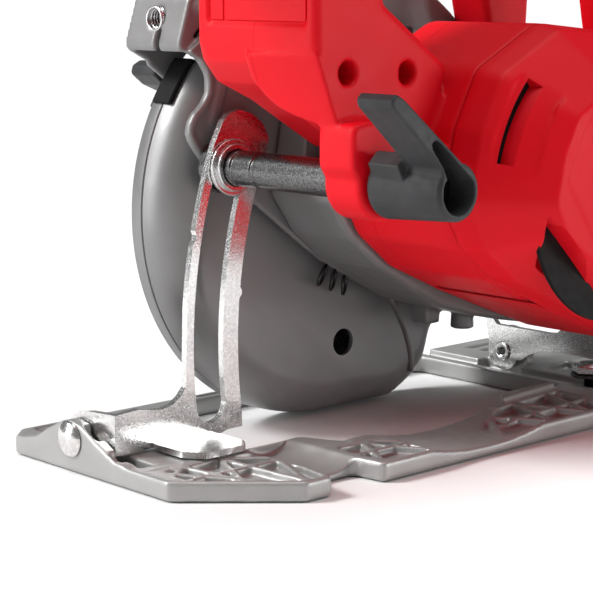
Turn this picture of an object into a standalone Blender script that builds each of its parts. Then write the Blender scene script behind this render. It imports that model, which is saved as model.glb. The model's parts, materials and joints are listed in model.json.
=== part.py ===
"""Rear-handle circular saw, blade on the left, standing on its shoe at its shallowest depth of cut.

World frame: +X forward, +Y to the left (the blade's side), +Z up, metres, origin on the sole. Inside the
script lengths are millimetres and x counts from the shoe's rear wall, ORIGIN_FROM_REAR behind the origin.
The handle is drawn in its own frame (back, up), which lies level when the saw is near its full depth.
"""

from math import atan2, cos, degrees, hypot, pi, radians, sin, tan

import bmesh
import bpy
from mathutils import Vector

MM = 0.001
ORIGIN_FROM_REAR = 20.0
GAP = 0.3

# Axes, as (x, z) of a line along Y, or (y, z) of a line along X.
BLADE_AXIS = (142.8, 95.4)
MOTOR_AXIS = (171.1, 108.6)
DEPTH_AXIS = (268.0, 45.0)
ROD_AXIS = (66.5, 117.5)
BEVEL_AXIS = (0.0, 13.3)

DEPTH_RANGE = 25.6
BLADE_RADIUS = 92.0
BLADE_Y = 12.0
GUARD_RADIUS = 95.0
GUARD_SIDES = (-4.0, 21.0)
GUARD_HOLE = (145.8, 33.3)
UPPER_GUARD_RADIUS = 103.0
UPPER_GUARD_SIDES = (-11.7, 27.0)

SHOE_LENGTH = 312.0
SHOE_SIDES = (-96.0, 47.0)
SHOE_THICKNESS = 8.0
REAR_WALL = 5.6

ROD_RADIUS = 7.2
SLOT_RADIUS = hypot(DEPTH_AXIS[0] - ROD_AXIS[0], ROD_AXIS[1] - DEPTH_AXIS[1])
ROD_ANGLE = degrees(atan2(ROD_AXIS[1] - DEPTH_AXIS[1], DEPTH_AXIS[0] - ROD_AXIS[0]))
BRACKET_FACE = -21.0
BRACKET_STEEL = 3.0

HANDLE_MID = -64.5
HANDLE_HALF_WIDTH = 33.5
GRIP_HALF_WIDTH = 18.0
HANDLE_LEAN = 26.7
HANDLE_FOOT = (58.0, 185.0)
HANDLE_BACK_END = 140.0
WALL = 3.0

GEAR_MODULE = 1.25
PINION_TEETH = 10
GEAR_TEETH = 40
BLADE_TEETH = 24

FINISHES = {
    "cast_magnesium": ((0.33, 0.33, 0.33), 0.45, 0.8),
    "zinc_plate": ((0.72, 0.72, 0.70), 0.28, 1.0),
    "dark_steel": ((0.12, 0.12, 0.12), 0.4, 1.0),
    "bright_steel": ((0.55, 0.55, 0.55), 0.3, 1.0),
    "red_nylon": ((0.72, 0.01, 0.03), 0.42, 0.0),
    "dark_nylon": ((0.06, 0.06, 0.06), 0.5, 0.0),
    "black_rubber": ((0.02, 0.02, 0.02), 0.75, 0.0),
    "copper_winding": ((0.6, 0.28, 0.12), 0.4, 1.0),
    "clear_lens": ((0.9, 0.95, 1.0), 0.1, 0.0),
    "board_green": ((0.02, 0.16, 0.07), 0.5, 0.0),
}


# ---------------------------------------------------------------- shapes


def spot(x, y, z):
    return Vector(((x - ORIGIN_FROM_REAR) * MM, y * MM, z * MM))


def handle(back, up):
    """(x, z) of a point of the handle's own frame, which is level when the saw is near its full depth."""
    lean = radians(HANDLE_LEAN)
    x, z = HANDLE_FOOT
    return (x - back * cos(lean) + up * sin(lean), z + back * sin(lean) + up * cos(lean))


def handle_all(points):
    return [handle(*point) for point in points]


def around(centre, radius, start, end, steps):
    """Points of an arc, both ends included; degrees, counter-clockwise from the first axis."""
    turns = [radians(start + (end - start) * i / steps) for i in range(steps + 1)]
    return [(centre[0] + radius * cos(t), centre[1] + radius * sin(t)) for t in turns]


def ring(centre, radius, steps):
    return around(centre, radius, 0, 360, steps)[:-1]


def behind_pivot(radius, angle):
    """(x, z) at a radius behind the depth pivot, angle degrees above the level."""
    return (
        DEPTH_AXIS[0] - radius * cos(radians(angle)),
        DEPTH_AXIS[1] + radius * sin(radians(angle)),
    )


def swing(radius, start, end, steps):
    return [behind_pivot(radius, start + (end - start) * i / steps) for i in range(steps + 1)]


def rounded(points, radius, steps=3):
    """The outline with each corner turned into an arc of about this radius."""
    out = []
    for i, here in enumerate(points):
        before, after = Vector(points[i - 1]), Vector(points[(i + 1) % len(points)])
        here = Vector(here)
        into, away = (before - here), (after - here)
        bend = into.angle(away)
        if bend > radians(170):
            out.append(tuple(here))
            continue
        cut = min(radius / tan(bend / 2), into.length * 0.45, away.length * 0.45)
        first, last = here + into.normalized() * cut, here + away.normalized() * cut
        for k in range(steps + 1):
            t = k / steps
            out.append(tuple(first * (1 - t) ** 2 + here * 2 * t * (1 - t) + last * t**2))
    return out


def skin(loops):
    """A closed solid through loops of equal length, capped at both ends."""
    mesh = bmesh.new()
    rows = [[mesh.verts.new(spot(*point)) for point in loop] for loop in loops]
    mesh.faces.new(rows[0])
    mesh.faces.new(rows[-1][::-1])
    for low, high in zip(rows, rows[1:]):
        for i in range(len(low)):
            mesh.faces.new((low[i - 1], low[i], high[i], high[i - 1]))
    bmesh.ops.recalc_face_normals(mesh, faces=mesh.faces)
    return mesh


def slab(along, outline, low, high):
    """An outline pulled along an axis: (x, z) along Y, (y, z) along X, (x, y) along Z."""
    point = {
        "Y": lambda a, b, t: (a, t, b),
        "X": lambda a, b, t: (t, a, b),
        "Z": lambda a, b, t: (a, b, t),
    }[along]
    return skin([[point(a, b, t) for a, b in outline] for t in (low, high)])


def block(x, y, z):
    return slab("Z", [(x[0], y[0]), (x[1], y[0]), (x[1], y[1]), (x[0], y[1])], *z)


def turned(along, centre, profile, steps=24):
    """A profile of (radius, place on the axis) turned about a line along X, Y or Z."""
    point = {
        "Y": lambda a, b, t: (centre[0] + a, t, centre[1] + b),
        "X": lambda a, b, t: (t, centre[0] + a, centre[1] + b),
        "Z": lambda a, b, t: (centre[0] + a, centre[1] + b, t),
    }[along]
    mesh = bmesh.new()
    rows = []
    for radius, place in profile:
        if radius == 0:
            rows.append([mesh.verts.new(spot(*point(0, 0, place)))])
            continue
        corners = ring((0, 0), radius, steps)
        rows.append([mesh.verts.new(spot(*point(a, b, place))) for a, b in corners])
    for one, two in zip(rows, rows[1:] + rows[:1]):
        if len(one) == len(two) == 1:
            continue
        for i in range(steps):
            if len(one) == 1:
                mesh.faces.new((one[0], two[i], two[i - 1]))
            elif len(two) == 1:
                mesh.faces.new((one[i - 1], one[i], two[0]))
            else:
                mesh.faces.new((one[i - 1], one[i], two[i], two[i - 1]))
    bmesh.ops.recalc_face_normals(mesh, faces=mesh.faces)
    return mesh


def rod(along, centre, radius, low, high, steps=24):
    return turned(along, centre, [(0, low), (radius, low), (radius, high), (0, high)], steps)


def tube(along, centre, inner, outer, low, high, steps=24):
    profile = [(inner, low), (outer, low), (outer, high), (inner, high)]
    return turned(along, centre, profile, steps)


# ---------------------------------------------------------------- objects

GROUPS = {}


def group(name, axis_point=(ORIGIN_FROM_REAR, 0, 0), parent=None):
    """A rigid group: an empty on its joint's axis, which its solids and later groups hang on."""
    empty = bpy.data.objects.new(name + "_axis", None)
    bpy.context.scene.collection.objects.link(empty)
    place = spot(*axis_point)
    empty.location = place
    if parent:
        empty.parent = GROUPS[parent][0]
        empty.location = place - GROUPS[parent][1]
    GROUPS[name] = (empty, place)


def finish_of(name, slot):
    colour, roughness, metallic = FINISHES[slot]
    material = bpy.data.materials.new(name + "_" + slot)
    material.use_nodes = True
    shader = material.node_tree.nodes["Principled BSDF"]
    shader.inputs["Base Color"].default_value = (*colour, 1)
    shader.inputs["Roughness"].default_value = roughness
    shader.inputs["Metallic"].default_value = metallic
    material.diffuse_color = (*colour, 1)
    return material


def hang(name, mesh, owner):
    """A mesh object whose origin is its group's axis."""
    empty, place = GROUPS[owner]
    bmesh.ops.translate(mesh, verts=mesh.verts, vec=-place)
    data = bpy.data.meshes.new(name)
    mesh.to_mesh(data)
    mesh.free()
    thing = bpy.data.objects.new(name, data)
    bpy.context.scene.collection.objects.link(thing)
    thing.parent = empty
    return thing


def make(name, mesh, slot, owner):
    """A named solid with its finish, in its group."""
    thing = hang(name, mesh, owner)
    thing.data.shade_smooth()
    thing.data.set_sharp_from_angle(angle=radians(35))
    thing.data.materials.append(finish_of(name, slot))
    thing["group"] = owner
    return thing


def combine(thing, mesh, operation):
    """Adds or removes a shape by a Boolean whose other operand is a hidden object."""
    name = f"{thing.name}_{operation.lower()}_{len(thing.modifiers)}"
    other = hang(name, mesh, thing["group"])
    other.hide_render = True
    other.display_type = "WIRE"
    modifier = thing.modifiers.new(name, "BOOLEAN")
    modifier.object = other
    modifier.operation = operation
    modifier.solver = "EXACT"


def cut(thing, *meshes):
    for mesh in meshes:
        combine(thing, mesh, "DIFFERENCE")


def join(thing, *meshes):
    for mesh in meshes:
        combine(thing, mesh, "UNION")


# ---------------------------------------------------------------- shoe


def shoe():
    right, left = SHOE_SIDES
    outline = [
        (0, -60.6), (38.4, right), (51.8, right), (53.5, -80.5), (77.0, -80.5), (78.8, right),
        (SHOE_LENGTH - 30, right), (SHOE_LENGTH, right + 24), (SHOE_LENGTH, left - 12),
        (SHOE_LENGTH - 14, left), (8, left - 1), (0, left - 9),
    ]
    plate = make("shoe", slab("Z", outline, 0, SHOE_THICKNESS), "cast_magnesium", "base")
    hump = [
        (38.0, 4), (38.0, 7.3), (24.3, 10), (14.4, 15.7), (6, 19.6), (1.3, 20.8), (-4, 20.2),
        (-7.9, 19), (-16, 14.5), (-27.3, 9.4), (-37.6, 7.7), (-60, 7), (-60, 4),
    ]
    join(plate, slab("X", hump, 0, REAR_WALL))
    ear = [(12, 4), *around(BEVEL_AXIS, 12, 0, 180, 8), (-12, 4)]
    join(plate, slab("X", ear, 261.4, 267.4))
    window = rounded(
        [
            (38, -42), (84, -42), (92, -60), (188, -61), (196, -52), (239, -52), (239, 38.5), (92, 38.5),
            (87, 32), (38, 32),
        ],
        5, 2,
    )
    cut(plate, slab("Z", window, -5, 30))
    # Room for the rear hinge ear, then for the lock rod's boss and the motor at full depth.
    cut(plate, block((REAR_WALL, 12.6), (-38, 13), (2.4, 30)))
    cut(plate, block((253.5, 261.1), (-12, 12), (2.8, 30)), block((267.3, 271), (-9, 9), (6, 30)))
    cut(plate, rod("Y", (65.5, 21.2), 18.2, -120, -42.5, 32))
    cut(plate, rod("Y", (141.0, 162.3), 158.0, -120, -55, 96))
    # Ribbed pockets of the rear platform and of the right rail.
    for x, y in (
        ((14, 34), (16, 38)), ((14, 34), (-6, 11)), ((42, 48), (-76, -62)),
        ((84, 104), (-88, -68)), ((194, 210), (-88, -60)), ((216, 232), (-88, -60)),
        ((272, 290), (-84, -66)), ((272, 298), (-10, 36)),
    ):
        cut(plate, block(x, y, (4.2, 20)))
    cut(plate, rod("X", BEVEL_AXIS, 3.6, -8, 12, 12), rod("X", BEVEL_AXIS, 3.6, 255, 275, 12))
    # The rip fence's bar lies in this groove, under the fence screw.
    cut(plate, block((244.5, 255.4), (-100, 60), (4.4, 12)), rod("Z", FENCE_SCREW, 3.4, 2.5, 30, 12))


def hinge_pins():
    for name, head, tail in (("rear_bevel_pin", -0.3, 9.6), ("front_bevel_pin", 257.7, 267.7)):
        dome = [(0, head - 2.8), (3.6, head - 2.5), (6.3, head - 1.4), (7.4, head)]
        shank = [(3.2, head), (3.2, tail), (5.4, tail), (4.6, tail + 1.6), (0, tail + 1.6)]
        make(name, turned("X", BEVEL_AXIS, dome + shank, 16), "zinc_plate", "base")


FENCE_SCREW = (250.0, -60.0)


def fence_screw():
    head = [(0, 17.0), (7.4, 17.0), (8.6, 16.0), (8.6, 13.0), (3.0, 13.0), (3.0, 3.0), (0, 3.0)]
    screw = make("fence_screw", turned("Z", FENCE_SCREW, head, 12), "dark_steel", "fence_screw")
    x, y = FENCE_SCREW
    for side in (-1, 1):
        wing = block((x - 1.4, x + 1.4), (y + side * 5 - 3.4, y + side * 5 + 3.4), (15, 21))
        join(screw, wing)


BEVEL_BOLT = (-48.0, 27.3)
BEVEL_RANGE = 53.0


def bevel_quadrant():
    """The fixed plate with the arc slot in which the bevel bolt travels."""
    reach = hypot(BEVEL_BOLT[0] - BEVEL_AXIS[0], BEVEL_BOLT[1] - BEVEL_AXIS[1])
    start = degrees(atan2(BEVEL_BOLT[1] - BEVEL_AXIS[1], BEVEL_BOLT[0] - BEVEL_AXIS[0]))
    end = start - BEVEL_RANGE
    outer = around(BEVEL_AXIS, reach + 9, start + 6, end - 9, 14)
    inner = around(BEVEL_AXIS, reach - 9, end - 9, start + 6, 12)
    foot = [(-40, SHOE_THICKNESS + GAP), (-60, SHOE_THICKNESS + GAP)]
    front = BEVEL_FLAG_X[1] + 0.4
    sector = slab("X", outer + inner[:-1] + foot, front, front + 2.5)
    plate = make("bevel_quadrant", sector, "zinc_plate", "base")
    half = 3.4
    lane = around(BEVEL_AXIS, reach + half, start, end, 12)
    last = around(BEVEL_AXIS, reach, end, end, 1)[0]
    lane += around(last, half, end, end - 180, 5)[1:-1]
    lane += around(BEVEL_AXIS, reach - half, end, start, 12)
    lane += around(BEVEL_BOLT, half, start + 180, start, 5)[1:-1]
    cut(plate, slab("X", lane, front - 3, front + 6))


# ---------------------------------------------------------------- bevel frame


def rear_depth_bracket():
    """Hinge ear across the saw, a square bend, and the slotted arc that the lock rod slides in."""
    near, far = BRACKET_FACE, BRACKET_FACE + BRACKET_STEEL
    outline = [
        (6.3, 25), (6.3, 9), (14, 8.6), (50, 8.6), (56, 8.2), (72, 10),
        *swing(198.5, -7.6, 22.5, 14), (87, 126), (86, 131), (78, 138), (70, 140.5), (63, 137),
        *swing(225.7, 21.5, 4.4, 12), (42.6, 32.5), (36, 26), (28, 23.5), (20, 25.6), (12, 24.4),
    ]
    plate = make("rear_depth_bracket", slab("Y", outline, near, far), "zinc_plate", "bevel_frame")
    low_end, high_end = ROD_ANGLE - DEPTH_RANGE - 0.3, ROD_ANGLE + 0.3
    half = ROD_RADIUS + 0.5
    slot = swing(SLOT_RADIUS + half, low_end, high_end, 14)
    slot += around(behind_pivot(SLOT_RADIUS, high_end), half, 180 - high_end, -high_end, 8)[1:-1]
    slot += swing(SLOT_RADIUS - half, high_end, low_end, 14)
    slot += around(behind_pivot(SLOT_RADIUS, low_end), half, -low_end, -180 - low_end, 8)[1:-1]
    cut(plate, slab("Y", slot, near - 5, far + 5))
    ear = [(far, 25), (near, 25), (near, 9), (-13, 8.4), *around(BEVEL_AXIS, 10, 215, 430, 10), (-4, 24)]
    ear_plate = slab("X", ear, 6.3, 9.3)
    join(plate, ear_plate)
    tab = [(24, near + 1), (24, -40), (30, -48), (50, -48), (54, -42), (54, near + 1)]
    join(plate, slab("Z", tab, 8.9, 11.4))
    cut(plate, rod("X", BEVEL_AXIS, 3.6, 0, 14, 12))


BRACKET_EARS = ((9.0, 12.0), (-40.0, -37.0))
BEVEL_FLAG_X = (282.0, 285.0)


def front_bevel_bracket():
    """Cross plate on the front rivet, with two ears turned forward to carry the depth pivot."""
    outline = [
        (12, 58), (12, 31), *around(BEVEL_AXIS, 9.2, 20, -160, 9), (-12, 12), (-20, 16.5),
        (-34, 18.2), (-46, 17.6), (-58, 17), (-60, 34), (-54, 37), (-40, 38), (-40, 58), (-37, 58),
        (-37, 30), (-33, 26.5), (-27, 26), (4, 26), (9, 31), (9, 58),
    ]
    plate = make("front_bevel_bracket", slab("X", outline, 258, 261), "zinc_plate", "bevel_frame")
    for low, high in BRACKET_EARS:
        ear = [(258, 32), (258, 58), (272, 58), *around(DEPTH_AXIS, 13, 60, -60, 8), (262, 32)]
        join(plate, slab("Y", ear, low, high))
        cut(plate, rod("Y", DEPTH_AXIS, 5.4, low - 2, high + 2, 16))
    arm, flag = BRACKET_EARS[1], BEVEL_FLAG_X
    join(plate, slab("Y", [(262, 20), (flag[1], 20), (flag[1], 35), (262, 40)], *arm))
    tab = [(arm[1], 20), (arm[1], 35), (-56, 35), (-58, 28), (-56, 20)]
    join(plate, slab("X", tab, *flag))
    cut(plate, rod("X", BEVEL_AXIS, 3.6, 250, 270, 12))
    cut(plate, rod("X", BEVEL_BOLT, 3.4, flag[0] - 3, flag[1] + 3, 12))


def depth_pivot_pin():
    profile = [
        (0, -44.5), (5.6, -44.5), (6.6, -43.5), (6.6, -40.4), (5, -40.4), (5, 12.4), (6.6, 12.4),
        (6.6, 15.4), (5.6, 16.4), (0, 16.4),
    ]
    make("depth_pivot_pin", turned("Y", DEPTH_AXIS, profile, 20), "bright_steel", "bevel_frame")


def bevel_clamp():
    low, high = BEVEL_FLAG_X
    bolt = [
        (0, low - 3.4), (5.5, low - 3.1), (6.5, low - GAP), (3.0, low - GAP), (3.0, high + 17),
        (0, high + 17),
    ]
    make("bevel_bolt", turned("X", BEVEL_BOLT, bolt, 16), "bright_steel", "bevel_frame")
    hub = tube("X", BEVEL_BOLT, 3.3, 10, high + 3.3, high + 14, 20)
    lever = make("bevel_lever", hub, "dark_nylon", "bevel_lever")
    y, z = BEVEL_BOLT
    arm = [
        (y + 5, z + 8), (y - 12, z + 12), (y - 44, z + 30), (y - 50, z + 24), (y - 46, z + 16),
        (y - 8, z - 5),
    ]
    join(lever, slab("X", rounded(arm, 6, 2), high + 5, high + 12))
    cut(lever, rod("X", BEVEL_BOLT, 3.3, high, high + 20, 20))


# ---------------------------------------------------------------- guards and gear case

GEAR_CASE_SIDES = (-50.0, -12.0)
NOSE_RADIUS = 22.0


def gear_outline(centre, teeth, phase):
    """A toothed wheel's outline: each tooth is a trapezium on its root circle."""
    pitch = GEAR_MODULE * teeth / 2
    root, tip = pitch - 1.2 * GEAR_MODULE, pitch + 0.85 * GEAR_MODULE
    step = 360 / teeth
    points = []
    for i in range(teeth):
        middle = phase + i * step
        for radius, offset in ((root, -0.29), (tip, -0.10), (tip, 0.10), (root, 0.29)):
            turn = radians(middle + offset * step)
            points.append((centre[0] + radius * cos(turn), centre[1] + radius * sin(turn)))
    return points


LOCK_BUTTON = (150.0, -31.0)
SHAFT_RADIUS = 3.5


def gear_case():
    """The casting that carries both shafts, and reaches forward to the depth pivot."""
    back, front = GEAR_CASE_SIDES
    outline = [
        (94, 104), (106, 87.5), (124, 73), (139, 64.5), (160, 53), (200, 42.5), (235, 36),
        (256, 36.2), *around(DEPTH_AXIS, 9.3, -95, 95, 8), (256, 56), (246, 66), (252, 100),
        (238, 145), (206, 166), (150, 168), (116, 160), (101, 140),
    ]
    case = make("gear_case", slab("Y", outline, back, front), "cast_magnesium", "saw_body")
    join(case, rod("Y", DEPTH_AXIS, 9.4, -36.7, 8.7, 20))
    join(case, rod("Y", BLADE_AXIS, NOSE_RADIUS, front - 4, -0.8, 32))
    for x, z in ((176, 40), (196, 36)):
        join(case, slab("Y", [(x - 5, z + 12), (x - 4, z), (x + 4, z), (x + 5, z + 12)], -26, -16))
    cut(case, rod("Y", DEPTH_AXIS, 5.35, -40, 12, 20))
    # Clear of the bracket's right ear, and of the handle's neck.
    cut(case, block((246, 290), (-60, -36.6), (20, 80)), block((80, 107.6), (-60, -30.6), (116, 180)))
    # The gear chamber opens towards the motor; the spindle leaves through the nose.
    cut(case, rod("Y", BLADE_AXIS, 27.3, back - 2, -32, 40))
    cut(case, rod("Y", MOTOR_AXIS, 9, back - 2, -28, 24))
    cut(case, rod("Y", BLADE_AXIS, 15.3, -34, -18, 24), rod("Y", BLADE_AXIS, 9.3, -20, 2, 24))
    cut(case, rod("Z", LOCK_BUTTON, 7.4, 154, 175, 16))
    return case


def upper_guard():
    """Half-drum over the blade: a rim between two walls, open below and at the back."""
    near, far = UPPER_GUARD_SIDES
    back, front = 143, -25
    outer = around(BLADE_AXIS, UPPER_GUARD_RADIUS, front, back, 28)
    inner = around(BLADE_AXIS, UPPER_GUARD_RADIUS - WALL, back, front, 28)
    guard = make("upper_guard", slab("Y", outer + inner, near, far), "cast_magnesium", "saw_body")
    x, z = BLADE_AXIS
    right = outer + [
        (57, 150), (60, 130), (62, 113), (80, 105), (104, 88), (124, 73.5), (139, 65), (160, 54),
        (200, 46),
    ]
    join(guard, slab("Y", right, near, near + WALL))
    left = outer + [(x - 30, z + 24), *around(BLADE_AXIS, 30, 130, -30, 8), (x + 32, z - 14)]
    join(guard, slab("Y", left, far - WALL, far))
    clamp = [(50, 164), (57, 186), (84, 190), (84, 172), (62, 158)]
    join(guard, slab("Y", rounded(clamp, 3, 2), -8, 27))
    cut(guard, rod("Y", BLADE_AXIS, NOSE_RADIUS + 0.4, near - 1, near + WALL + 1, 32))
    lane = around(BLADE_AXIS, 89, 160, 34, 18) + around(BLADE_AXIS, 80, 34, 160, 18)
    cut(guard, slab("Y", lane, far - WALL - 0.5, far + 0.5))
    cut(guard, rod("X", (9.0, 176.0), 3.4, 40, 70, 12))
    cut(guard, slab("Y", [(40, 172.4), (60, 172.4), (60, 173.6), (40, 173.6)], -20, 40))


def lower_guard():
    """Turning guard: a wall beside the blade, a rim under it and a narrow lip beyond it."""
    near, far = GUARD_SIDES
    back, front = 146, 331
    outer = around(BLADE_AXIS, GUARD_RADIUS, back, front, 36)
    hub = around(BLADE_AXIS, 30, 331, 506, 16)
    wall = make("lower_guard", slab("Y", outer + hub, near, near + 2.4), "cast_magnesium", "lower_guard")
    band = outer + around(BLADE_AXIS, GUARD_RADIUS - 1.8, front, back, 36)
    join(wall, slab("Y", band, near, far))
    lip = outer + around(BLADE_AXIS, GUARD_RADIUS - 16, front, back, 36)
    join(wall, slab("Y", lip, far - 2, far))
    cut(wall, rod("Y", BLADE_AXIS, NOSE_RADIUS + 0.5, near - 1, near + 4, 32))
    cut(wall, rod("Y", GUARD_HOLE, 6, near - 1, near + 4, 16))


def lift_lever():
    def polar(radius, angle):
        return (
            BLADE_AXIS[0] + radius * cos(radians(angle)),
            BLADE_AXIS[1] + radius * sin(radians(angle)),
        )

    low = GUARD_SIDES[1] + GAP
    stem = [polar(81, 147), polar(87.5, 147), polar(87.5, 155), polar(81, 155)]
    lever = make("lift_lever", slab("Y", stem, low, 31), "dark_nylon", "lower_guard")
    corners = ((80, 146), (100, 144), (107, 147), (107, 152), (98, 158), (80, 158))
    paddle = [polar(radius, angle) for radius, angle in corners]
    join(lever, slab("Y", rounded(paddle, 3, 2), 28, 42))


def guard_spring():
    """Torsion spring around the gear case's nose, with its two legs."""
    turns, wire, radius = 2.0, 0.7, 25.5
    curve = bpy.data.curves.new("guard_spring", "CURVE")
    curve.dimensions = "3D"
    curve.bevel_depth = wire * MM
    curve.bevel_resolution = 1
    curve.use_fill_caps = True
    count = 44
    spline = curve.splines.new("POLY")
    spline.points.add(count - 1)
    place = GROUPS["saw_body"][1]
    for i, point in enumerate(spline.points):
        turn = 2 * pi * turns * i / (count - 1)
        y = -7.7 + 2.7 * i / (count - 1)
        at = spot(BLADE_AXIS[0] + radius * cos(turn), y, BLADE_AXIS[1] + radius * sin(turn)) - place
        point.co = (*at, 1)
    thing = bpy.data.objects.new("guard_spring", curve)
    bpy.context.scene.collection.objects.link(thing)
    thing.parent = GROUPS["saw_body"][0]
    curve.materials.append(finish_of("guard_spring", "bright_steel"))


def guard_bumper():
    bumper = rounded([(76, 112), (84, 108), (88, 116), (80, 120)], 2, 2)
    make("guard_bumper", slab("Y", bumper, -17, -12.1), "black_rubber", "saw_body")


# ---------------------------------------------------------------- drive train


def drive_train():
    pinion_phase = degrees(atan2(BLADE_AXIS[1] - MOTOR_AXIS[1], BLADE_AXIS[0] - MOTOR_AXIS[0]))
    gear_phase = pinion_phase + 180 + 180 / GEAR_TEETH
    bore = SHAFT_RADIUS + GAP
    small = slab("Y", gear_outline(MOTOR_AXIS, PINION_TEETH, pinion_phase), -46, -34.5)
    pinion = make("pinion", small, "bright_steel", "rotor")
    cut(pinion, rod("Y", MOTOR_AXIS, bore, -50, -30, 16))
    large = slab("Y", gear_outline(BLADE_AXIS, GEAR_TEETH, gear_phase), -45, -36)
    gear = make("output_gear", large, "bright_steel", "spindle")
    cut(gear, rod("Y", BLADE_AXIS, 8.3, -50, -30, 20))
    shaft = [(0, -126), (SHAFT_RADIUS, -126), (SHAFT_RADIUS, -34), (0, -34)]
    make("motor_shaft", turned("Y", MOTOR_AXIS, shaft, 16), "bright_steel", "rotor")
    rings = (
        ("rotor_core", bore, 24, -97, -63, 32, "dark_steel", "rotor"),
        ("stator", 24.6, 44, -101, -60, 40, "copper_winding", "saw_body"),
        ("front_motor_bearing", bore, 11, -57.5, -50.8, 24, "bright_steel", "saw_body"),
        ("rear_motor_bearing", bore, 9.5, -124, -118, 24, "bright_steel", "saw_body"),
        ("cooling_fan", bore, 12, -113, -104, 24, "dark_nylon", "rotor"),
    )
    for name, inner, outer, low, high, steps, slot, owner in rings:
        hub = make(name, tube("Y", MOTOR_AXIS, inner, outer, low, high, steps), slot, owner)
    join(hub, tube("Y", MOTOR_AXIS, 10, 42, -106, -104, 32))
    for i in range(9):
        lean = radians(40 * i)
        across = Vector((-sin(lean), cos(lean)))
        blade = [
            Vector((cos(lean), sin(lean))) * radius + across * side
            for radius, side in ((11, -0.9), (40, 7), (40, 8.8), (11, 0.9))
        ]
        join(hub, slab("Y", [(MOTOR_AXIS[0] + p.x, MOTOR_AXIS[1] + p.y) for p in blade], -112, -105))
    make("spindle_bearing", tube("Y", BLADE_AXIS, 8.3, 15, -32, -21, 28), "bright_steel", "saw_body")
    arbor = [(0, -47), (8, -47), (8, 0.2), (12, 0.2), (12, 3.6), (8, 3.6), (8, 16.6), (0, 16.6)]
    make("arbor", turned("Y", BLADE_AXIS, arbor, 24), "bright_steel", "spindle")
    make("inner_flange", tube("Y", BLADE_AXIS, 8.3, 19, 3.9, 11.0, 28), "dark_steel", "spindle")
    make("outer_flange", tube("Y", BLADE_AXIS, 8.3, 19, 13.0, 16.4, 28), "dark_steel", "spindle")
    bolt = make("blade_bolt", slab("Y", ring(BLADE_AXIS, 8.2, 6), 18.6, 24.5), "dark_steel", "spindle")
    join(bolt, rod("Y", BLADE_AXIS, 11, 16.9, 19.0, 24))


def blade():
    outline = []
    step = 360 / BLADE_TEETH
    tooth = ((0.0, 1.0), (0.07, 0.998), (0.5, 0.95), (0.62, 0.905), (0.8, 0.885), (0.93, 0.905))
    for i in range(BLADE_TEETH):
        for share, radius in tooth:
            turn = radians((i + share) * step)
            reach = BLADE_RADIUS * radius
            outline.append((BLADE_AXIS[0] + reach * cos(turn), BLADE_AXIS[1] + reach * sin(turn)))
    disc = make("blade", slab("Y", outline[::-1], BLADE_Y - 0.7, BLADE_Y + 0.7), "bright_steel", "spindle")
    cut(disc, rod("Y", BLADE_AXIS, 8.3, 5, 20, 24))


# ---------------------------------------------------------------- housing and handle

MOTOR_HOUSING_SIDES = (-108.0, -50.3)
MOTOR_OUTLINE = [
    (96, 108), (107, 89.5), (125, 75), (155, 61.5), (187, 49), (216, 38), (238, 46), (252, 72),
    (255, 105), (243, 140), (218, 164), (186, 171.5), (148, 175), (114, 158), (102, 136),
]
NECK = [
    (104.5, 122), (90, 130.5), (66, 144.5), (48, 153), (41, 161), (40, 205), handle(34, 12),
    handle(HANDLE_BACK_END, 8), handle(HANDLE_BACK_END, 96), handle(114, 100), handle(110, 78),
    handle(108, 38), handle(100, 32), handle(30, 32), handle(22, 40), handle(18, 84), handle(14, 112),
    handle(-8, 104), handle(-16, 60), handle(-16, 8), (76, 183), (111.5, 158.5), (101.5, 136),
]
GRIP = [
    handle(14, 84), handle(122, 76), handle(128, 96), handle(118, 106), handle(60, 116), handle(14, 121),
    handle(-2, 112), handle(-4, 92),
]
TRIGGER_SPAN = (30.0, 62.0)
SCREW_SPOTS = ((56.5, 158.0), (87.5, 157.0), handle(6, 100), handle(126, 88))


def inset(outline, amount):
    """The outline moved inwards by this much, for the wall of a shell."""
    area = sum(a[0] * b[1] - b[0] * a[1] for a, b in zip(outline[-1:] + outline, outline))
    side = 1 if area > 0 else -1
    out = []
    for i, here in enumerate(outline):
        before, after = Vector(outline[i - 1]), Vector(outline[(i + 1) % len(outline)])
        here = Vector(here)
        one, two = (here - before).normalized(), (after - here).normalized()
        normal = Vector((-one.y - two.y, one.x + two.x)) * side
        normal.normalize()
        stretch = max(0.35, normal.dot(Vector((-one.y, one.x)) * side))
        out.append(tuple(here + normal * amount / stretch))
    return out


def handle_half(name, outer_side):
    """One half of the clamshell: neck, lower arm, rear post and half of the grip bar."""
    side = 1 if outer_side == "left" else -1
    parting = HANDLE_MID + side * 0.15
    face = HANDLE_MID + side * HANDLE_HALF_WIDTH
    grip_face = HANDLE_MID + side * GRIP_HALF_WIDTH
    neck = rounded(NECK, 5, 2)
    half = make(name, slab("Y", neck, *sorted((parting, face))), "red_nylon", "saw_body")
    join(half, slab("Y", rounded(GRIP, 7, 2), *sorted((parting, grip_face))))
    hollow_end = face - side * WALL
    cut(half, slab("Y", inset(NECK, 3.4), *sorted((parting - side, hollow_end))))
    grip_end = grip_face - side * WALL
    cut(half, slab("Y", inset(GRIP, 3.4), *sorted((parting - side, grip_end))))
    start, end = TRIGGER_SPAN
    mouth = handle_all([(start, 70), (end, 70), (end, 90), (start, 90)])
    cut(half, slab("Y", mouth, *sorted((parting - side, HANDLE_MID + side * 8.4))))
    return half


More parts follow.
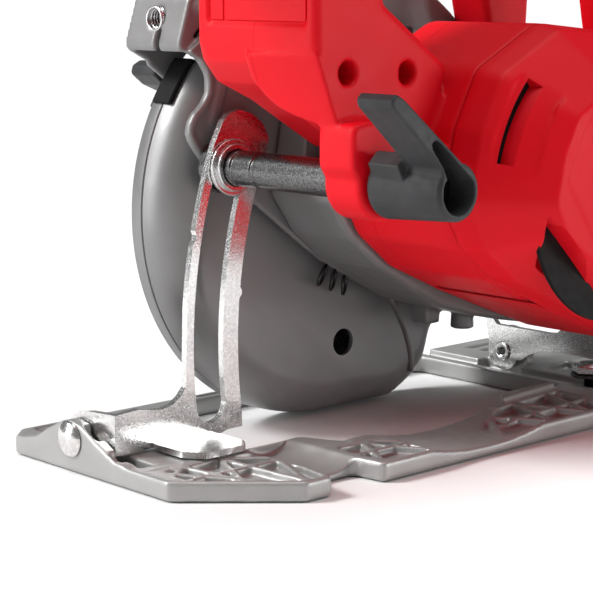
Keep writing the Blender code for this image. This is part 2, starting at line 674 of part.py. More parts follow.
def housing_left():
    half = handle_half("housing_left", "left")
    for spot_xz in SCREW_SPOTS:
        boss_end = HANDLE_MID + HANDLE_HALF_WIDTH - 1
        join(half, rod("Y", spot_xz, 5.0, HANDLE_MID + 0.4, boss_end, 12))
        cut(half, rod("Y", spot_xz, 1.9, HANDLE_MID - 2, HANDLE_MID + 12, 12))
    cut(half, rod("Y", LOCK_OFF, 6.4, HANDLE_MID + 6, HANDLE_MID + 22, 16))
    cut(half, rod("Y", HOOK_AXIS, 3.4, HANDLE_MID + 20, HANDLE_MID + 40, 12))
    room = rounded(inset(MOTOR_OUTLINE, -GAP), 12, 2)
    cut(half, slab("Y", room, HANDLE_MID - 2, MOTOR_HOUSING_SIDES[1] + GAP))


def housing_right():
    """The right shell: handle half, motor barrel and the boss that guides the lock rod."""
    half = handle_half("housing_right", "right")
    low, high = MOTOR_HOUSING_SIDES
    face = HANDLE_MID - HANDLE_HALF_WIDTH
    barrel = rounded(MOTOR_OUTLINE, 12, 2)
    join(half, slab("Y", barrel, low, high))
    boss = [
        (101, 128), (88, 140), (58, 142), (53, 137), *around(ROD_AXIS, 14, 160, 300, 9), (92, 112),
        (98, 110),
    ]
    join(half, slab("Y", boss, -107.7, -88.5))
    chamber = [
        (0, low - 2), (49, low - 2), (49, high - 4), (11.4, high - 4), (11.4, high + 2), (0, high + 2)
    ]
    cut(half, turned("Y", MOTOR_AXIS, chamber, 40))
    cut(half, rod("Y", ROD_AXIS, ROD_RADIUS + 0.4, -112, -84, 20))
    for spot_xz in SCREW_SPOTS:
        join(half, rod("Y", spot_xz, 6.4, face + 1.5, HANDLE_MID - 0.4, 14))
        cut(half, rod("Y", spot_xz, 4.4, face - 3, HANDLE_MID - 7, 14))
        cut(half, rod("Y", spot_xz, 2.4, HANDLE_MID - 9, HANDLE_MID + 2, 12))
    panel = [(38, 176), (42.4, 176), (42.4, 203), (38, 203)]
    cut(half, slab("Y", panel, -91.5, HANDLE_MID + 2))
    cut(bpy.data.objects["housing_left"], slab("Y", panel, HANDLE_MID - 2, -38.5))


def control_cover():
    cover = [(40.7, 176.4), (42.1, 176.4), (42.1, 202.6), (40.7, 202.6)]
    make("control_cover", slab("Y", cover, -91.1, -40.5), "red_nylon", "saw_body")


def handle_screws():
    for i, spot_xz in enumerate(SCREW_SPOTS):
        steps = ((0, -10.6), (3.8, -10.6), (3.8, -7.3), (1.6, -7.3), (1.6, 11), (0, 11))
        profile = [(radius, HANDLE_MID + y) for radius, y in steps]
        make(f"handle_screw_{i + 1}", turned("Y", spot_xz, profile, 10), "dark_steel", "saw_body")


def motor_cap():
    """Faceted end cover of the motor, with an arc vent in its sloping side."""
    x, z = MOTOR_AXIS
    low = MOTOR_HOUSING_SIDES[0]

    def loop(scale, y, shift):
        return [
            (x + (a - x) * scale + shift[0], y, z + (b - z) * scale + shift[1])
            for a, b in rounded(MOTOR_OUTLINE, 12, 2)
        ]

    shell = skin([loop(1.0, low - GAP, (0, 0)), loop(0.97, low - 12, (0, 0)), loop(0.66, low - 35, (0, 0))])
    cap = make("motor_cap", shell, "red_nylon", "saw_body")
    cut(cap, rod("Y", MOTOR_AXIS, 46, low - 8, low + 2, 40))
    cut(cap, turned("Y", MOTOR_AXIS, [(0, low - 4), (46, low - 4), (34, low - 26), (0, low - 26)], 40))
    vent = around(MOTOR_AXIS, 52, 128, 172, 8) + around(MOTOR_AXIS, 47.5, 172, 128, 8)
    cut(cap, slab("Y", vent, low - 40, low - 10))
    join(cap, tube("Y", MOTOR_AXIS, 9.9, 14, low - 27, low - 9, 24))


def front_handle():
    """Arch across the top: a leg on the motor housing, a bar over the saw and a leg on the gear case."""
    right = [
        (206, 167.6), (218.4, 164.8), (238, 145.6), (236, 200), (232, 232), (204, 236), (198, 205),
    ]
    arch = make("front_handle", slab("Y", rounded(right, 5, 2), -104, -84), "red_nylon", "saw_body")
    bar = rounded([(200, 214), (233, 210), (236, 232), (218, 244), (200, 238)], 8, 2)
    join(arch, slab("Y", bar, -104, -12))
    left = [(206, 168.6), (232, 160), (234, 200), (232, 226), (204, 230), (198, 200)]
    join(arch, slab("Y", rounded(left, 5, 2), -34, -12))
    return arch


def front_grip():
    outer = rounded([(196.5, 211), (236.5, 206.5), (239.5, 234), (219, 247.5), (196.5, 241)], 9, 3)
    grip = make("front_grip", slab("Y", outer, -83.4, -34.6), "black_rubber", "saw_body")
    inner = rounded([(199.6, 213.6), (233.4, 209.6), (236.4, 232.3), (218.1, 244.4), (199.6, 238.4)], 8, 2)
    cut(grip, slab("Y", inner, -90, -30))


def rear_grip():
    """Soft overmould that hugs the grip bar from above, open where the trigger comes out."""
    outer = handle_all([
        (68, 76.5), (101, 75), (105, 88), (105, 106), (60, 119), (22, 123), (20, 117), (64, 108),
    ])
    span = GRIP_HALF_WIDTH
    skin_side = span + 3.2
    solid = slab("Y", rounded(outer, 3, 2), HANDLE_MID - skin_side, HANDLE_MID + skin_side)
    sleeve = make("rear_grip", solid, "black_rubber", "saw_body")
    room = rounded(inset(GRIP, -GAP), 6, 2)
    cut(sleeve, slab("Y", room, HANDLE_MID - span - GAP, HANDLE_MID + span + GAP))


LOCK_OFF = handle(30, 100)
HOOK_AXIS = handle(62, 20)


def controls():
    start, end = TRIGGER_SPAN
    near, far = start + 0.6, end - 0.6
    shape = handle_all([(near, 88), (near, 76), (start + 8, 70.5), (end - 8, 69), (far, 74), (far, 88)])
    blade_like = slab("Y", rounded(shape, 2.5, 2), HANDLE_MID - 7.6, HANDLE_MID + 7.6)
    make("trigger", blade_like, "dark_nylon", "trigger")
    body_shape = handle_all([(70, 84), (100, 83), (100, 100), (70, 102)])
    body = slab("Y", body_shape, HANDLE_MID - 12, HANDLE_MID + 12)
    make("trigger_switch", body, "dark_nylon", "saw_body")
    knob = [(radius, HANDLE_MID + y) for radius, y in ((0, 8), (6, 8), (6, 20.5), (4.8, 21.5), (0, 21.5))]
    make("lock_off_button", turned("Y", LOCK_OFF, knob, 16), "dark_nylon", "lock_off")
    board = [(47, 178), (49, 178), (49, 200), (47, 200)]
    make("control_board", slab("Y", board, -90, -39), "board_green", "saw_body")
    stem = [(0, 159), (7, 159), (7, 171.5), (5.8, 172.5), (0, 172.5)]
    make("spindle_lock_button", turned("Z", LOCK_BUTTON, stem, 16), "dark_nylon", "spindle_lock")


def rafter_hook():
    y = HANDLE_MID + HANDLE_HALF_WIDTH + GAP
    shape = handle_all([(55, 13), (120, 13), (128, 20), (128, 60), (120, 60), (120, 27), (55, 27)])
    hook = make("rafter_hook", slab("Y", rounded(shape, 5, 2), y, y + 4), "dark_steel", "rafter_hook")
    cut(hook, rod("Y", HOOK_AXIS, 3.5, y - 2, y + 6, 12))
    pin = [(0, y - 12), (3.1, y - 12), (3.1, y + 4.4), (6, y + 4.4), (5, y + 6.4), (0, y + 6.4)]
    make("hook_pin", turned("Y", HOOK_AXIS, pin, 14), "dark_steel", "saw_body")


def led_lens():
    lens = slab("Y", [(238.6, 150), (244, 143.4), (247, 145.4), (241.4, 152.2)], -34, -20)
    make("led_lens", lens, "clear_lens", "saw_body")


# ---------------------------------------------------------------- depth lock


def depth_lock():
    shank = [(0, -116), (ROD_RADIUS, -116), (ROD_RADIUS, -17.6), (11, -17.6), (11, -13.0), (0, -13.0)]
    make("depth_rod", turned("Y", ROD_AXIS, shank, 20), "dark_steel", "saw_body")
    washer = tube("Y", ROD_AXIS, ROD_RADIUS + GAP, 11.5, -24.2, BRACKET_FACE - GAP, 24)
    make("rod_washer", washer, "zinc_plate", "saw_body")
    x, z = ROD_AXIS
    barrel = [(0, -144), (10.6, -144), (12.4, -109.5), (0, -109.5)]
    lever = make("depth_lever", turned("Y", ROD_AXIS, barrel, 24), "dark_nylon", "depth_lever")
    arm = [
        (x - 7.6, z - 7.6), (x + 8, z + 7.6), (x - 28, z + 42), (x - 33, z + 42), (x - 36, z + 37),
        (x - 35, z + 31),
    ]
    join(lever, slab("Y", arm, -144, -126))
    cut(lever, rod("Y", ROD_AXIS, ROD_RADIUS + GAP, -118, -105, 20))
    cut(lever, rod("Y", ROD_AXIS, 8.4, -150, -134, 20))


# ---------------------------------------------------------------- battery

PACK_HALF_WIDTH = 37.0


def leaned_prism(plan, low_up, high_up):
    """A plan of (back, y) points pulled up along the handle's own upward direction."""
    loops = []
    for up in (low_up, high_up):
        row = []
        for back, y in plan:
            x, z = handle(back, up)
            row.append((x, y, z))
        loops.append(row)
    return skin(loops)


def battery():
    mid = HANDLE_MID
    end = HANDLE_BACK_END
    rail = [
        (end + GAP, mid - 22), (end + 4, mid - 22), (end + 4, mid - 26), (end + 8, mid - 26),
        (end + 8, mid + 26), (end + 4, mid + 26), (end + 4, mid + 22), (end + GAP, mid + 22),
    ]
    make("terminal_block", leaned_prism(rail, 20, 90), "dark_nylon", "saw_body")
    wide = PACK_HALF_WIDTH
    front, rear = end + 0.6, end + 60
    plan = [(front, mid - wide), (rear, mid - wide), (rear, mid + wide), (front, mid + wide)]
    case = make("battery_case", leaned_prism(plan, -6, 112), "dark_nylon", "battery")
    channel = [
        (end - 2, mid - 22.5), (end + 3.5, mid - 22.5), (end + 3.5, mid - 26.6), (end + 8.6, mid - 26.6),
        (end + 8.6, mid + 26.6), (end + 3.5, mid + 26.6), (end + 3.5, mid + 22.5), (end - 2, mid + 22.5),
    ]
    cut(case, leaned_prism(channel, -10, 91))
    for side, name in ((1, "battery_latch_left"), (-1, "battery_latch_right")):
        face = mid + side * wide
        deep, out = face - side * 5, face + side
        pocket = [(end + 12.6, deep), (end + 30.4, deep), (end + 30.4, out), (end + 12.6, out)]
        cut(case, leaned_prism(pocket, 75.6, 104.4))
        deep, out = face - side * 1.8, face + side * 1.6
        button = [(end + 13, deep), (end + 30, deep), (end + 30, out), (end + 13, out)]
        make(name, leaned_prism(button, 76, 104), "dark_nylon", name)


# ---------------------------------------------------------------- assembly


def groups():
    y, z = BEVEL_AXIS
    x_blade, z_blade = BLADE_AXIS
    mid = HANDLE_MID
    group("base")
    group("fence_screw", (*FENCE_SCREW, 10), "base")
    group("bevel_frame", (0, y, z), "base")
    group("bevel_lever", (BEVEL_FLAG_X[1] + 8, *BEVEL_BOLT), "bevel_frame")
    group("saw_body", (DEPTH_AXIS[0], 0, DEPTH_AXIS[1]), "bevel_frame")
    group("rotor", (MOTOR_AXIS[0], -80, MOTOR_AXIS[1]), "saw_body")
    group("spindle", (x_blade, 0, z_blade), "saw_body")
    group("lower_guard", (x_blade, 0, z_blade), "saw_body")
    group("depth_lever", (ROD_AXIS[0], -126, ROD_AXIS[1]), "saw_body")
    for name, (x, z) in (("trigger", handle(46, 80)), ("lock_off", LOCK_OFF), ("rafter_hook", HOOK_AXIS)):
        group(name, (x, mid, z), "saw_body")
    group("spindle_lock", (*LOCK_BUTTON, 165), "saw_body")
    x, z = handle(170, 50)
    group("battery", (x, mid, z), "saw_body")
    for side, name in ((1, "battery_latch_left"), (-1, "battery_latch_right")):
        x, z = handle(162, 90)
        group(name, (x, mid + side * PACK_HALF_WIDTH, z), "battery")


def main():
    for thing in list(bpy.data.objects):
        bpy.data.objects.remove(thing, do_unlink=True)
    groups()
    shoe()
    hinge_pins()
    fence_screw()
    bevel_quadrant()
    rear_depth_bracket()
    front_bevel_bracket()
    depth_pivot_pin()
    bevel_clamp()
    gear_case()
    upper_guard()
    lower_guard()
    lift_lever()
    guard_spring()
    guard_bumper()
    drive_train()
    blade()
    housing_left()
    housing_right()
    control_cover()
    handle_screws()
    motor_cap()
    front_handle()
    front_grip()
    rear_grip()
    controls()
    rafter_hook()
    led_lens()
    depth_lock()
    battery()


main()
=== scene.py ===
"""Looks of the rear-handle circular saw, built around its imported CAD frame.

World frame: +X forward, +Y to the left (the blade's side), +Z up, metres, origin on the sole. Inside the
script lengths are millimetres and x counts from the shoe's rear wall, as in the CAD.
"""

import json
from math import atan2, cos, degrees, hypot, radians, sin, tan

import bmesh
import bpy
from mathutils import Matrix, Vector

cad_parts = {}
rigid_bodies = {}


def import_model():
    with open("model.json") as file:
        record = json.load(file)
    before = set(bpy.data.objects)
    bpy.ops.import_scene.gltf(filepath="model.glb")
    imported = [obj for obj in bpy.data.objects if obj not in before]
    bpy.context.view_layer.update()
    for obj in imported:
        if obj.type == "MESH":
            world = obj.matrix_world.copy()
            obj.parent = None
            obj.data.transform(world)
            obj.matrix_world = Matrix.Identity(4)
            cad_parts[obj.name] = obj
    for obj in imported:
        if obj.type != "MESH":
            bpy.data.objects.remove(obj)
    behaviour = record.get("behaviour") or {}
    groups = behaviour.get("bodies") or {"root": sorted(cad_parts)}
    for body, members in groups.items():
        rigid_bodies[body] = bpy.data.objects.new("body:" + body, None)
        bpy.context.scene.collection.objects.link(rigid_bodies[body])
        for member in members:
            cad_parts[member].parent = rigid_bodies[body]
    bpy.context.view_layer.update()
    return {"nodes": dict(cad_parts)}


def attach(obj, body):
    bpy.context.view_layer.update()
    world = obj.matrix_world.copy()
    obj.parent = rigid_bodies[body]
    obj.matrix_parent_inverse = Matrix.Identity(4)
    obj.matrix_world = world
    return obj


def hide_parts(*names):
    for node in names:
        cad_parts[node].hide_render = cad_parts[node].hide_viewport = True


for leftover in list(bpy.data.objects):
    bpy.data.objects.remove(leftover)
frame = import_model()
scene = bpy.context.scene

MM = 0.001
ORIGIN_FROM_REAR = 20.0
BLADE_AXIS = (142.8, 95.4)
MOTOR_AXIS = (171.1, 108.6)
DEPTH_AXIS = (268.0, 45.0)
ROD_AXIS = (66.5, 117.5)
BEVEL_AXIS = (0.0, 13.3)
BEVEL_BOLT = (-48.0, 27.3)
FENCE_AXIS = (250.0, -60.0)
SPINDLE_LOCK_AXIS = (150.0, -31.0)
CLAMP_AXIS = (10.0, 176.0)
SLOT_RADIUS = hypot(DEPTH_AXIS[0] - ROD_AXIS[0], ROD_AXIS[1] - DEPTH_AXIS[1])
ROD_ANGLE = degrees(atan2(ROD_AXIS[1] - DEPTH_AXIS[1], DEPTH_AXIS[0] - ROD_AXIS[0]))
HANDLE_LEAN = 26.7
HANDLE_FOOT = (58.0, 185.0)
HANDLE_MID = -64.5
HANDLE_END = 140.0
TRIGGER_SPAN = (30, 62)
CRISP_ANGLE = 50
CAMERA_LENS = 113.0
CAMERA_PLACE = (-0.43849, -0.58366, 0.19207)
CAMERA_TURN = (80.29, 0, -42.77)
FLOOR_HALF = 60.0
FLOOR_LEVEL = -0.0004
SKY_STRENGTH = 0.2
PLASTIC_SHEEN = 0.14
BUMP_DEPTH = 0.0003


# ---- shapes


def spot(x, y, z):
    return Vector(((x - ORIGIN_FROM_REAR) * MM, y * MM, z * MM))


def handle(back, up):
    """(x, z) of a point of the handle's own leaned frame."""
    lean = radians(HANDLE_LEAN)
    x, z = HANDLE_FOOT
    return (x - back * cos(lean) + up * sin(lean), z + back * sin(lean) + up * cos(lean))


def handle_all(points):
    return [handle(*point) for point in points]


LOCK_OFF_SPOT = handle(30, 100)
HOOK_SPOT = handle(62, 20)
GRIP = handle_all([(14, 84), (122, 76), (128, 96), (118, 106), (60, 116), (14, 121), (-2, 112), (-4, 92)])


def around(centre, radius, start, end, steps):
    turns = [radians(start + (end - start) * i / steps) for i in range(steps + 1)]
    return [(centre[0] + radius * cos(t), centre[1] + radius * sin(t)) for t in turns]


def sector(centre, one, other, start, end, steps):
    """The outline between two arcs of these radii."""
    return around(centre, one, start, end, steps) + around(centre, other, end, start, steps)


def ring(centre, radius, steps):
    return around(centre, radius, 0, 360, steps)[:-1]


def behind_pivot(radius, angle):
    turn = radians(angle)
    return (DEPTH_AXIS[0] - radius * cos(turn), DEPTH_AXIS[1] + radius * sin(turn))


def swing(radius, start, end, steps):
    return [behind_pivot(radius, start + (end - start) * i / steps) for i in range(steps + 1)]


def rounded(points, radius, steps=4, straight=172):
    """The outline with each corner turned into an arc of about this radius, unless it is nearly straight."""
    out = []
    for i, here in enumerate(points):
        before, after = Vector(points[i - 1]), Vector(points[(i + 1) % len(points)])
        here = Vector(here)
        into, away = (before - here), (after - here)
        bend = into.angle(away)
        if bend > radians(straight):
            out.append(tuple(here))
            continue
        reach = max(0.02, min(radius / tan(bend / 2), into.length * 0.45, away.length * 0.45))
        first, last = here + into.normalized() * reach, here + away.normalized() * reach
        for k in range(steps + 1):
            t = k / steps
            out.append(tuple(first * (1 - t) ** 2 + here * 2 * t * (1 - t) + last * t**2))
    return out


def inset(outline, amount):
    """The outline moved inwards by this much."""
    area = sum(a[0] * b[1] - b[0] * a[1] for a, b in zip(outline[-1:] + outline, outline))
    side = 1 if area > 0 else -1
    out = []
    for i, here in enumerate(outline):
        before, after = Vector(outline[i - 1]), Vector(outline[(i + 1) % len(outline)])
        here = Vector(here)
        one, two = (here - before).normalized(), (after - here).normalized()
        normal = Vector((-one.y - two.y, one.x + two.x)) * side
        normal.normalize()
        stretch = max(0.35, normal.dot(Vector((-one.y, one.x)) * side))
        out.append(tuple(here + normal * amount / stretch))
    return out


def band(mesh, low, high):
    """Faces between two rows of equal length."""
    for i in range(len(low)):
        mesh.faces.new((low[i - 1], low[i], high[i], high[i - 1]))


def outward(mesh):
    """Turns all faces of a closed shell outwards."""
    bmesh.ops.recalc_face_normals(mesh, faces=mesh.faces)
    return mesh


def skin(loops):
    """A closed solid through loops of equal length, capped at both ends."""
    mesh = bmesh.new()
    rows = [[mesh.verts.new(spot(*point)) for point in loop] for loop in loops]
    mesh.faces.new(rows[0])
    mesh.faces.new(rows[-1][::-1])
    for low, high in zip(rows, rows[1:]):
        band(mesh, low, high)
    return outward(mesh)


PLACES = {
    "Y": lambda a, b, t: (a, t, b),
    "X": lambda a, b, t: (t, a, b),
    "Z": lambda a, b, t: (a, b, t),
}


def loft(along, stations):
    """A solid through outlines at stations: (place on the axis, outline) each."""
    return skin([[PLACES[along](a, b, t) for a, b in outline] for t, outline in stations])


def slab(along, outline, low, high):
    return loft(along, [(low, outline), (high, outline)])


def across(outline, half):
    """A slab that reaches this far to both sides of the handle's middle."""
    return slab("Y", outline, HANDLE_MID - half, HANDLE_MID + half)


def crowned(along, outline, stations, radius=0, steps=4):
    """An outline pulled along an axis, set in by the amount of each (place, amount), its corners rounded."""
    rows = [(place, inset(outline, amount)) for place, amount in stations]
    if radius:
        rows = [(place, rounded(row, radius, steps, 181)) for place, row in rows]
    return loft(along, rows)


def block(x, y, z):
    return slab("Z", [(x[0], y[0]), (x[1], y[0]), (x[1], y[1]), (x[0], y[1])], *z)


def turned(along, centre, profile, steps=48):
    """A profile of (radius, place on the axis) turned about a line."""
    mesh = bmesh.new()
    rows = []
    for radius, place in profile:
        if radius == 0:
            rows.append([mesh.verts.new(spot(*PLACES[along](*centre, place)))])
            continue
        corners = ring(centre, radius, steps)
        rows.append([mesh.verts.new(spot(*PLACES[along](a, b, place))) for a, b in corners])
    for one, two in zip(rows, rows[1:] + rows[:1]):
        if len(one) == len(two) > 1:
            band(mesh, one, two)
        elif len(one) > 1:
            for i in range(steps):
                mesh.faces.new((one[i - 1], one[i], two[0]))
        elif len(two) > 1:
            for i in range(steps):
                mesh.faces.new((one[0], two[i], two[i - 1]))
    return outward(mesh)


def rod(along, centre, radius, low, high, steps=40):
    return turned(along, centre, [(0, low), (radius, low), (radius, high), (0, high)], steps)


def tube(along, centre, inner, outer, low, high, steps=48):
    profile = [(inner, low), (outer, low), (outer, high), (inner, high)]
    return turned(along, centre, profile, steps)


def swept(points, radius, steps=10, closed=False):
    """A round bar along a path of (x, y, z)."""
    mesh = bmesh.new()
    path = [Vector(p) for p in points]
    rows = []
    side = None
    for i, here in enumerate(path):
        last, following = path[max(i - 1, 0)], path[min(i + 1, len(path) - 1)]
        if closed:
            last, following = path[i - 1], path[(i + 1) % len(path)]
        ahead = (following - last).normalized()
        if side is None:
            side = ahead.cross(Vector((0.31, 0.17, 0.93))).normalized()
        side = (side - ahead * side.dot(ahead)).normalized()
        other = ahead.cross(side)
        row = []
        for k in range(steps):
            turn = radians(360 * k / steps)
            row.append(mesh.verts.new(spot(*(here + (side * cos(turn) + other * sin(turn)) * radius))))
        rows.append(row)
    pairs = list(zip(rows, rows[1:]))
    if closed:
        pairs.append((rows[-1], rows[0]))
    else:
        mesh.faces.new(rows[0])
        mesh.faces.new(rows[-1][::-1])
    for low, high in pairs:
        band(mesh, low, high)
    return outward(mesh)


# ---- objects


def placed(name, data):
    """A new object in the scene, holding this mesh, light or camera."""
    made = bpy.data.objects.new(name, data)
    scene.collection.objects.link(made)
    return made


def thing(name, *meshes):
    """An object holding these closed shells."""
    data = bpy.data.meshes.new(name)
    whole = bmesh.new()
    for mesh in meshes:
        part = bpy.data.meshes.new("part")
        mesh.to_mesh(part)
        mesh.free()
        whole.from_mesh(part)
        bpy.data.meshes.remove(part)
    whole.to_mesh(data)
    whole.free()
    return placed(name, data)


def flatten(made):
    """Applies the object's modifiers to its mesh."""
    graph = bpy.context.evaluated_depsgraph_get()
    graph.update()
    data = bpy.data.meshes.new_from_object(made.evaluated_get(graph))
    old = made.data
    made.modifiers.clear()
    made.data = data
    bpy.data.meshes.remove(old)


def combine(made, add, cut, solver):
    """Adds these shapes to a solid and cuts those from it, each a closed shell or an object."""
    helpers = []
    for operation, meshes in (("UNION", add), ("DIFFERENCE", cut)):
        for mesh in meshes:
            other = mesh if isinstance(mesh, bpy.types.Object) else thing("tool", mesh)
            helpers.append(other)
            modifier = made.modifiers.new("cut", "BOOLEAN")
            modifier.object = other
            modifier.operation = operation
            modifier.solver = solver
    flatten(made)
    for other in helpers:
        data = other.data
        bpy.data.objects.remove(other)
        bpy.data.meshes.remove(data)
    return made


def shape(name, base, add=(), cut=(), solver="EXACT"):
    """A solid from a base shape, shapes added to it and shapes cut from it."""
    return combine(thing(name, base), add, cut, solver)


def cast(name, base, add=(), cut=()):
    """A solid like shape's, for a piece that is melted: its solver bears shapes that touch each other."""
    return shape(name, base, add, cut, "MANIFOLD")


def melt(made, voxel, rounds):
    """Remeshes a solid at this size in millimetres and rounds its edges, as casting and moulding do."""
    remesh = made.modifiers.new("remesh", "REMESH")
    remesh.mode = "VOXEL"
    remesh.voxel_size = voxel * MM
    relax = made.modifiers.new("relax", "SMOOTH")
    relax.factor = 0.5
    relax.iterations = rounds
    flatten(made)
    return smooth(made)


def sharpen(made):
    """Keeps the edges crisp where faces meet at more than CRISP_ANGLE."""
    made.data.set_sharp_from_angle(angle=radians(CRISP_ANGLE))


def carve(made, cut):
    """Cuts these shapes from a solid that is melted already, leaving crisp rims."""
    combine(made, (), cut, "MANIFOLD")
    sharpen(made)


def smooth(made):
    made.data.shade_smooth()
    return made


def trim(made, width, segments=3, angle=32):
    """Rounds a solid's edges by this width in millimetres."""
    made.data.shade_smooth()
    bevel = made.modifiers.new("edges", "BEVEL")
    bevel.width = width * MM
    bevel.segments = segments
    bevel.limit_method = "ANGLE"
    bevel.angle_limit = radians(angle)
    bevel.harden_normals = True
    bevel.miter_outer = "MITER_ARC"
    return made


def show(made, body, finish, *nodes):
    """Puts a finished piece on its body, in the finish of this name, in place of its CAD nodes."""
    slot, material = FINISH[finish]
    made.data.materials.clear()
    made.data.materials.append(material)
    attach(made, body)
    if nodes:
        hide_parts(*nodes)
    return made


# ---- materials


def fill(node, values):
    """Sets a shader node's inputs by name."""
    for name, value in values.items():
        node.inputs[name].default_value = value


def surface(name, colour, rough, metal, grain, mottle, spread):
    """A procedural finish: colour mottling, roughness spread and a fine grain in the bump."""
    material = bpy.data.materials.new(name)
    material.use_nodes = True
    nodes, links = material.node_tree.nodes, material.node_tree.links
    shader = nodes["Principled BSDF"]
    fill(shader, {"Metallic": metal})
    if not metal:
        fill(shader, {"Specular IOR Level": PLASTIC_SHEEN})
    place = nodes.new("ShaderNodeTexCoord")

    def noise(scale, detail):
        node = nodes.new("ShaderNodeTexNoise")
        fill(node, {"Scale": scale, "Detail": detail})
        links.new(place.outputs["Object"], node.inputs["Vector"])
        return node

    def mapped(source, low, high):
        node = nodes.new("ShaderNodeMapRange")
        fill(node, {"From Min": 0.3, "From Max": 0.7, "To Min": low, "To Max": high})
        links.new(source.outputs["Fac"], node.inputs["Value"])
        return node

    clouds = noise(mottle[0], 4)
    mix = nodes.new("ShaderNodeMix")
    mix.data_type = "RGBA"
    dark = tuple(c * (1 - mottle[1]) for c in colour)
    light = tuple(min(1, c * (1 + mottle[1])) for c in colour)
    fill(mix, {6: (*dark, 1), 7: (*light, 1)})
    share = mapped(clouds, 0, 1)
    links.new(share.outputs[0], mix.inputs[0])
    links.new(mix.outputs[2], shader.inputs["Base Color"])
    roughness = mapped(noise(mottle[0] * 3.1, 3), max(0.03, rough - spread), rough + spread)
    links.new(roughness.outputs[0], shader.inputs["Roughness"])
    fine = noise(grain[0], 2)
    bump = nodes.new("ShaderNodeBump")
    fill(bump, {"Strength": grain[1], "Distance": BUMP_DEPTH})
    links.new(fine.outputs["Fac"], bump.inputs["Height"])
    links.new(bump.outputs["Normal"], shader.inputs["Normal"])
    return material


# Slot, colour, roughness, metal, (scale, strength) of the grain and the mottling, spread of roughness.
FINISHES = {
    "guard_grey": ("cast_magnesium", (0.22, 0.22, 0.22), 0.38, 0.45, (2600, 0.16), (35, 0.05), 0.04),
    "case_grey": ("cast_magnesium", (0.19, 0.19, 0.19), 0.42, 0.25, (1800, 0.16), (40, 0.07), 0.05),
    "upper_grey": ("cast_magnesium", (0.19, 0.19, 0.19), 0.40, 0.2, (1800, 0.14), (40, 0.07), 0.05),
    "shoe_grey": ("cast_magnesium", (0.38, 0.38, 0.375), 0.40, 0.45, (1600, 0.16), (55, 0.07), 0.06),
    "zinc": ("zinc_plate", (0.74, 0.74, 0.735), 0.2, 1.0, (1100, 0.12), (620, 0.16), 0.12),
    "mottled_steel": ("dark_steel", (0.13, 0.13, 0.13), 0.26, 1.0, (1200, 0.12), (1300, 0.6), 0.12),
    "black_steel": ("dark_steel", (0.05, 0.05, 0.05), 0.36, 0.9, (1500, 0.1), (120, 0.2), 0.08),
    "steel": ("bright_steel", (0.60, 0.60, 0.60), 0.24, 1.0, (1700, 0.08), (160, 0.1), 0.07),
    "red": ("red_nylon", (0.66, 0.003, 0.011), 0.46, 0.0, (1900, 0.12), (30, 0.02), 0.03),
    "nylon": ("dark_nylon", (0.042, 0.043, 0.045), 0.42, 0.0, (1700, 0.3), (70, 0.2), 0.08),
    "black": ("dark_nylon", (0.006, 0.006, 0.006), 0.6, 0.0, (1200, 0.2), (70, 0.2), 0.05),
    "rubber": ("black_rubber", (0.018, 0.018, 0.019), 0.68, 0.0, (900, 0.6), (70, 0.2), 0.06),
    "copper": ("copper_winding", (0.55, 0.22, 0.09), 0.34, 1.0, (700, 0.5), (200, 0.25), 0.08),
    "lens": ("clear_lens", (0.85, 0.9, 0.95), 0.12, 0.0, (900, 0.05), (70, 0.03), 0.03),
    "board": ("board_green", (0.015, 0.14, 0.06), 0.45, 0.0, (900, 0.3), (300, 0.4), 0.08),
}
FINISH = {name: (row[0], surface(name, *row[1:])) for name, row in FINISHES.items()}


# ---- base


